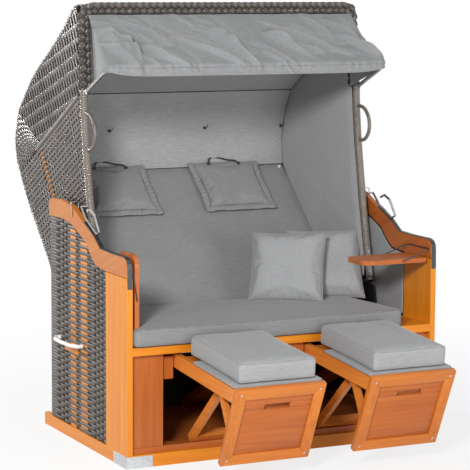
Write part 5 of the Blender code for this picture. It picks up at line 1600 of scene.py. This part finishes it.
def make_awning():
    """Cloth from the braid over the bow, with cheeks at its ends, diagonal pulls and a stitched hem."""
    bow_low, bow_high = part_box("awning_bow")
    cloth_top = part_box("awning_cloth")[1].z
    top = np.array((behind(BRAID_DEPTH) - BRAID_RADIUS * 0.55, cloth_top + 0.009))
    tip = np.array((bow_low.y + AWNING_RADIUS, bow_high.z - AWNING_RADIUS))
    over = tip + (-AWNING_CLEAR * 0.8, AWNING_CLEAR)
    hem = tip + (-AWNING_CLEAR, -AWNING_HEM)
    cheek_low = np.array((behind(BRAID_FOOT_DEPTH) - BRAID_RADIUS * 0.7, bow_low.z + AWNING_RADIUS - 0.002))
    places, normal = awning_grid(top, over, hem, cheek_low)
    form = Form()
    add_slab(form, places + normal * AWNING_CLOTH / 2, places - normal * AWNING_CLOTH / 2)
    sheet = form.make("sewn_awning", [AWNING_LOOK], None, angle=1.2)
    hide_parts("awning_cloth")
    trim = Form()
    inside = slice(int(AWNING_COLUMNS * 0.03), -int(AWNING_COLUMNS * 0.03))
    edge_way = normal[-1, inside]
    trim.sweep(places[-1, inside] + edge_way * 0.0004, edge_way, HEM_SECTION)
    row = int(AWNING_ROWS * SEAM_SHARE)
    trim.tube(places[row, inside] + normal[row, inside] * AWNING_CLOTH * 0.55, 0.0010, 1, 5)
    hem_piece = trim.make("awning_hem", [AWNING_LOOK, GREY_PIPING], "awning", angle=0.8)
    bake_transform(sheet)


def awning_grid(top, over, hem, cheek_low):
    """Places of the awning's cloth in rows and columns, and its ways out."""
    cheek_top = top - (0, 0.003)
    u = np.linspace(-1, 1, AWNING_COLUMNS)[None, :, None]
    v = np.linspace(0, 1, AWNING_ROWS)[:, None, None]
    across = np.clip(u / MAIN_SHARE, -1, 1)
    down = np.minimum(1.0, v / BOW_SHARE)
    hung = np.maximum(0.0, v - BOW_SHARE) / (1 - BOW_SHARE) * (1 - 0.75 * np.abs(across) ** 12)
    spot = top + (over - top) * down
    spot = spot + (hem - spot) * hung
    x = across * (AWNING_TOP_HALF + (AWNING_HALF + AWNING_CLEAR - AWNING_TOP_HALF) * down)
    side_share = np.clip((np.abs(u) - MAIN_SHARE) / (1 - MAIN_SHARE), 0, 1)
    spot = spot + (cheek_top + (cheek_low - cheek_top) * v - spot) * side_share
    x = x * (1 - side_share) + np.sign(u) * (BRAID_PLACE - BRAID_RADIUS - 0.001) * side_share
    places = np.concatenate([np.broadcast_to(x, spot.shape[:2] + (1,)), spot], axis=2)
    places = smoothed(places, 7, 2)
    normal = unit(np.cross(np.gradient(places, axis=1), np.gradient(places, axis=0)))
    normal *= np.sign(np.sum(normal * (0, -0.4, 1.0), axis=2, keepdims=True).mean())
    hang = np.sin(math.pi * np.clip(down, 0.0, 1.0)) * (1 - side_share)
    ends = 1 - np.clip((np.abs(u) - 0.80) / 0.10, 0, 1)
    lift = awning_pulls(places[..., 0], v[..., 0])[..., None] * ends - AWNING_SAG * hang
    return places + normal * lift, normal


def awning_pulls(x, down):
    """Height of the diagonal pulls in the awning's cloth, and of the puckers along its seam."""
    rng = np.random.default_rng(PULL_SEED)
    lift = 0.003 * np.sin((x - 0.28 * down) / 0.045 + 0.6) + 0.002 * np.sin((x - 0.1 * down) / 0.019)
    for _ in range(PULL_COUNT):
        start, slope, bend, first, length, width, height = [rng.uniform(*ends) for ends in PULL_RANGES]
        away = (x - start - slope * down - bend * down ** 2) / width
        share = np.clip((down - first) / length, 0, 1)
        profile = np.exp(-away ** 2) - 0.75 * np.exp(-(away - 1.9) ** 2)
        lift = lift + PULL_LIFT * height * profile * np.sin(math.pi * share) ** 0.7 * (width / 0.02) ** 0.35
    wander = 2.2 * np.sin(x / 0.041) + 1.3 * np.sin(x / 0.0173)
    near_seam = np.exp(-((down - SEAM_SHARE) / 0.05) ** 2)
    pucker = np.sin(x / 0.0062 + wander) * (0.6 + 0.4 * np.sin(x / 0.057)) * near_seam
    fade = np.sin(math.pi * np.clip(down * 0.93 + 0.02, 0, 1)) ** 0.6
    low = np.clip((down - 0.5) / 0.3, 0, 1)
    return np.maximum(fade * lift, -0.030 + 0.029 * low) + PUCKER_LIFT * pucker


# Camera and light

PLAIN_WHITE = (1.0, 1.0, 1.0, 1.0)
AMBIENT = 0.40
FLOOR_COLOUR, FLOOR_REACH = (0.86, 0.86, 0.86, 1.0), 14.0
LAMPS = (("key", (-3.3, -4.4, 2.7), (0.0, 0.1, 0.8), 0.8, 250),
         ("fill", (1.2, -5.6, 1.2), (0.0, 0.3, 0.9), 2.4, 88),
         ("back", (-3.1, 5.0, 2.1), (0.0, 0.1, 0.8), 0.9, 175))


def make_camera():
    """The photograph's view."""
    camera = bpy.data.cameras.new("camera")
    camera.lens = CAMERA_LENS
    camera.sensor_width = 36.0
    camera.clip_end = 100.0
    yaw, pitch, roll = CAMERA_YAW, CAMERA_PITCH, CAMERA_ROLL
    forward = Vector((math.sin(yaw) * math.cos(pitch), math.cos(yaw) * math.cos(pitch), -math.sin(pitch)))
    right = Vector((math.cos(yaw), -math.sin(yaw), 0.0))
    up = right.cross(forward)
    across = right * math.cos(roll) + up * math.sin(roll)
    upward = up * math.cos(roll) - right * math.sin(roll)
    obj = put("camera", camera)
    axes = Matrix((across, upward, -forward)).transposed().to_4x4()
    obj.matrix_world = Matrix.Translation(CAMERA_PLACE) @ axes
    bpy.context.scene.camera = obj


def seen_directly(nodes):
    """A value of one for rays that show the background itself."""
    rays = nodes.node("LightPath").outputs
    first = nodes.op("MAXIMUM", rays["Is Camera Ray"], rays["Is Glossy Ray"])
    return nodes.op("MAXIMUM", first, rays["Is Transmission Ray"])


def make_world():
    """Even pale light, and plain white where the background shows."""
    world = bpy.data.worlds.new("world")
    bpy.context.scene.world = world
    world.use_nodes = True
    nodes = Nodes(world.node_tree)
    soft = nodes.tree.nodes["Background"]
    soft.inputs["Color"].default_value = PLAIN_WHITE
    soft.inputs["Strength"].default_value = AMBIENT
    white = nodes.node("Background", {"Color": PLAIN_WHITE, "Strength": 1.0})
    mix = nodes.node("MixShader", {0: seen_directly(nodes), 1: soft.outputs[0], 2: white.outputs[0]})
    nodes.link(mix.outputs[0], nodes.tree.nodes["World Output"].inputs["Surface"])


def make_floor():
    """A wide white floor that takes a soft shadow, and is plain white far from the chair."""
    look = Look("floor", 0.9)
    look.set("Base Color", FLOOR_COLOUR)
    away = look.node("VectorMath", {0: look.place}, operation="LENGTH").outputs["Value"]
    share = look.op("MULTIPLY", seen_directly(look), look.spread(away, 1.1, 2.6, 0.80, 1.0))
    glow = look.node("Emission", {"Color": PLAIN_WHITE})
    mix = look.node("MixShader", {0: share, 1: look.shader.outputs[0], 2: glow.outputs[0]})
    look.link(mix.outputs[0], look.tree.nodes["Material Output"].inputs["Surface"])
    mesh = bpy.data.meshes.new("floor")
    corners = [(x * FLOOR_REACH, y * FLOOR_REACH, 0) for x, y in ((-1, -1), (1, -1), (1, 1), (-1, 1))]
    mesh.from_pydata(corners, [], [(0, 1, 2, 3)])
    mesh.materials.append(look.material)
    floor = put("floor", mesh)


def make_lamp(name, place, target, size, power):
    """A wide soft lamp."""
    lamp = bpy.data.lights.new(name, "AREA")
    lamp.shape = "DISK"
    lamp.size = size
    lamp.energy = power
    way = Vector(target) - Vector(place)
    turn = way.to_track_quat("-Z", "Y").to_matrix().to_4x4()
    put(name, lamp).matrix_world = Matrix.Translation(place) @ turn


def make_light():
    """Light from the front left, a wide weaker one from the front, one from behind, and the world's."""
    bpy.context.scene.view_settings.view_transform = "Standard"
    make_world()
    make_floor()
    for name, place, target, size, power in LAMPS:
        make_lamp(name, place, target, size, power)


# Parts that stay

PART_LOOKS = {"plinth_front": WOOD_X, "seat_frame": WOOD_X, "floor_board": RED_X, "centre_divider": RED_Z,
              "arm_board_left": ARM_WOOD, "arm_board_right": ARM_WOOD_SHADED, "awning_bow": CHROME}
SIDE_PART_LOOKS = {"fixed_panel": RED_Z, "sill": WOOD_Y, "front_board": WOOD_Z, "arm_rack": DARK,
                   "corner_plate": ZINC, "pivot_bolt": ZINC, "lock_lever": CHROME, "table_bow": DARK,
                   "table_leaf": RED_X, "footrest_axle": ZINC, "footrest_frame": FOOT_WOOD,
                   "footrest_strut": FOOT_WOOD, "carry_handle": WHITE}


def dress(node, look):
    """Gives a CAD node its material."""
    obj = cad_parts[node]
    obj.data.materials.clear()
    obj.data.materials.append(look)


def dress_parts():
    """Materials of the CAD nodes that stay."""
    for node, look in PART_LOOKS.items():
        dress(node, look)
    for stem, look in SIDE_PART_LOOKS.items():
        for word, _ in SIDES:
            dress(f"{stem}_{word}", look)


make_camera()
make_light()
dress_parts()
make_base_weave()
make_hood_weave()
make_braid()
for side_word, side_sign in SIDES:
    make_rib(side_word, side_sign)
    make_post(side_word, side_sign)
    make_strap_handle(side_word, side_sign)
    make_side_lining(side_word, side_sign)
    make_neck_cushion(side_word)
    make_cushion_loop(side_word)
    make_footrest_pad(side_word)
    make_footrest_cushion(side_word)
    make_footrest_front(side_word)
    make_base_fittings(side_word, side_sign)
    make_hood_fittings(side_word, side_sign)
make_hood_lining()
make_backrest()
make_seat_cushion()
make_throw_pillow("throw_pillow_front", 33, 0)
make_throw_pillow("throw_pillow_back", 17, 1)
make_awning()
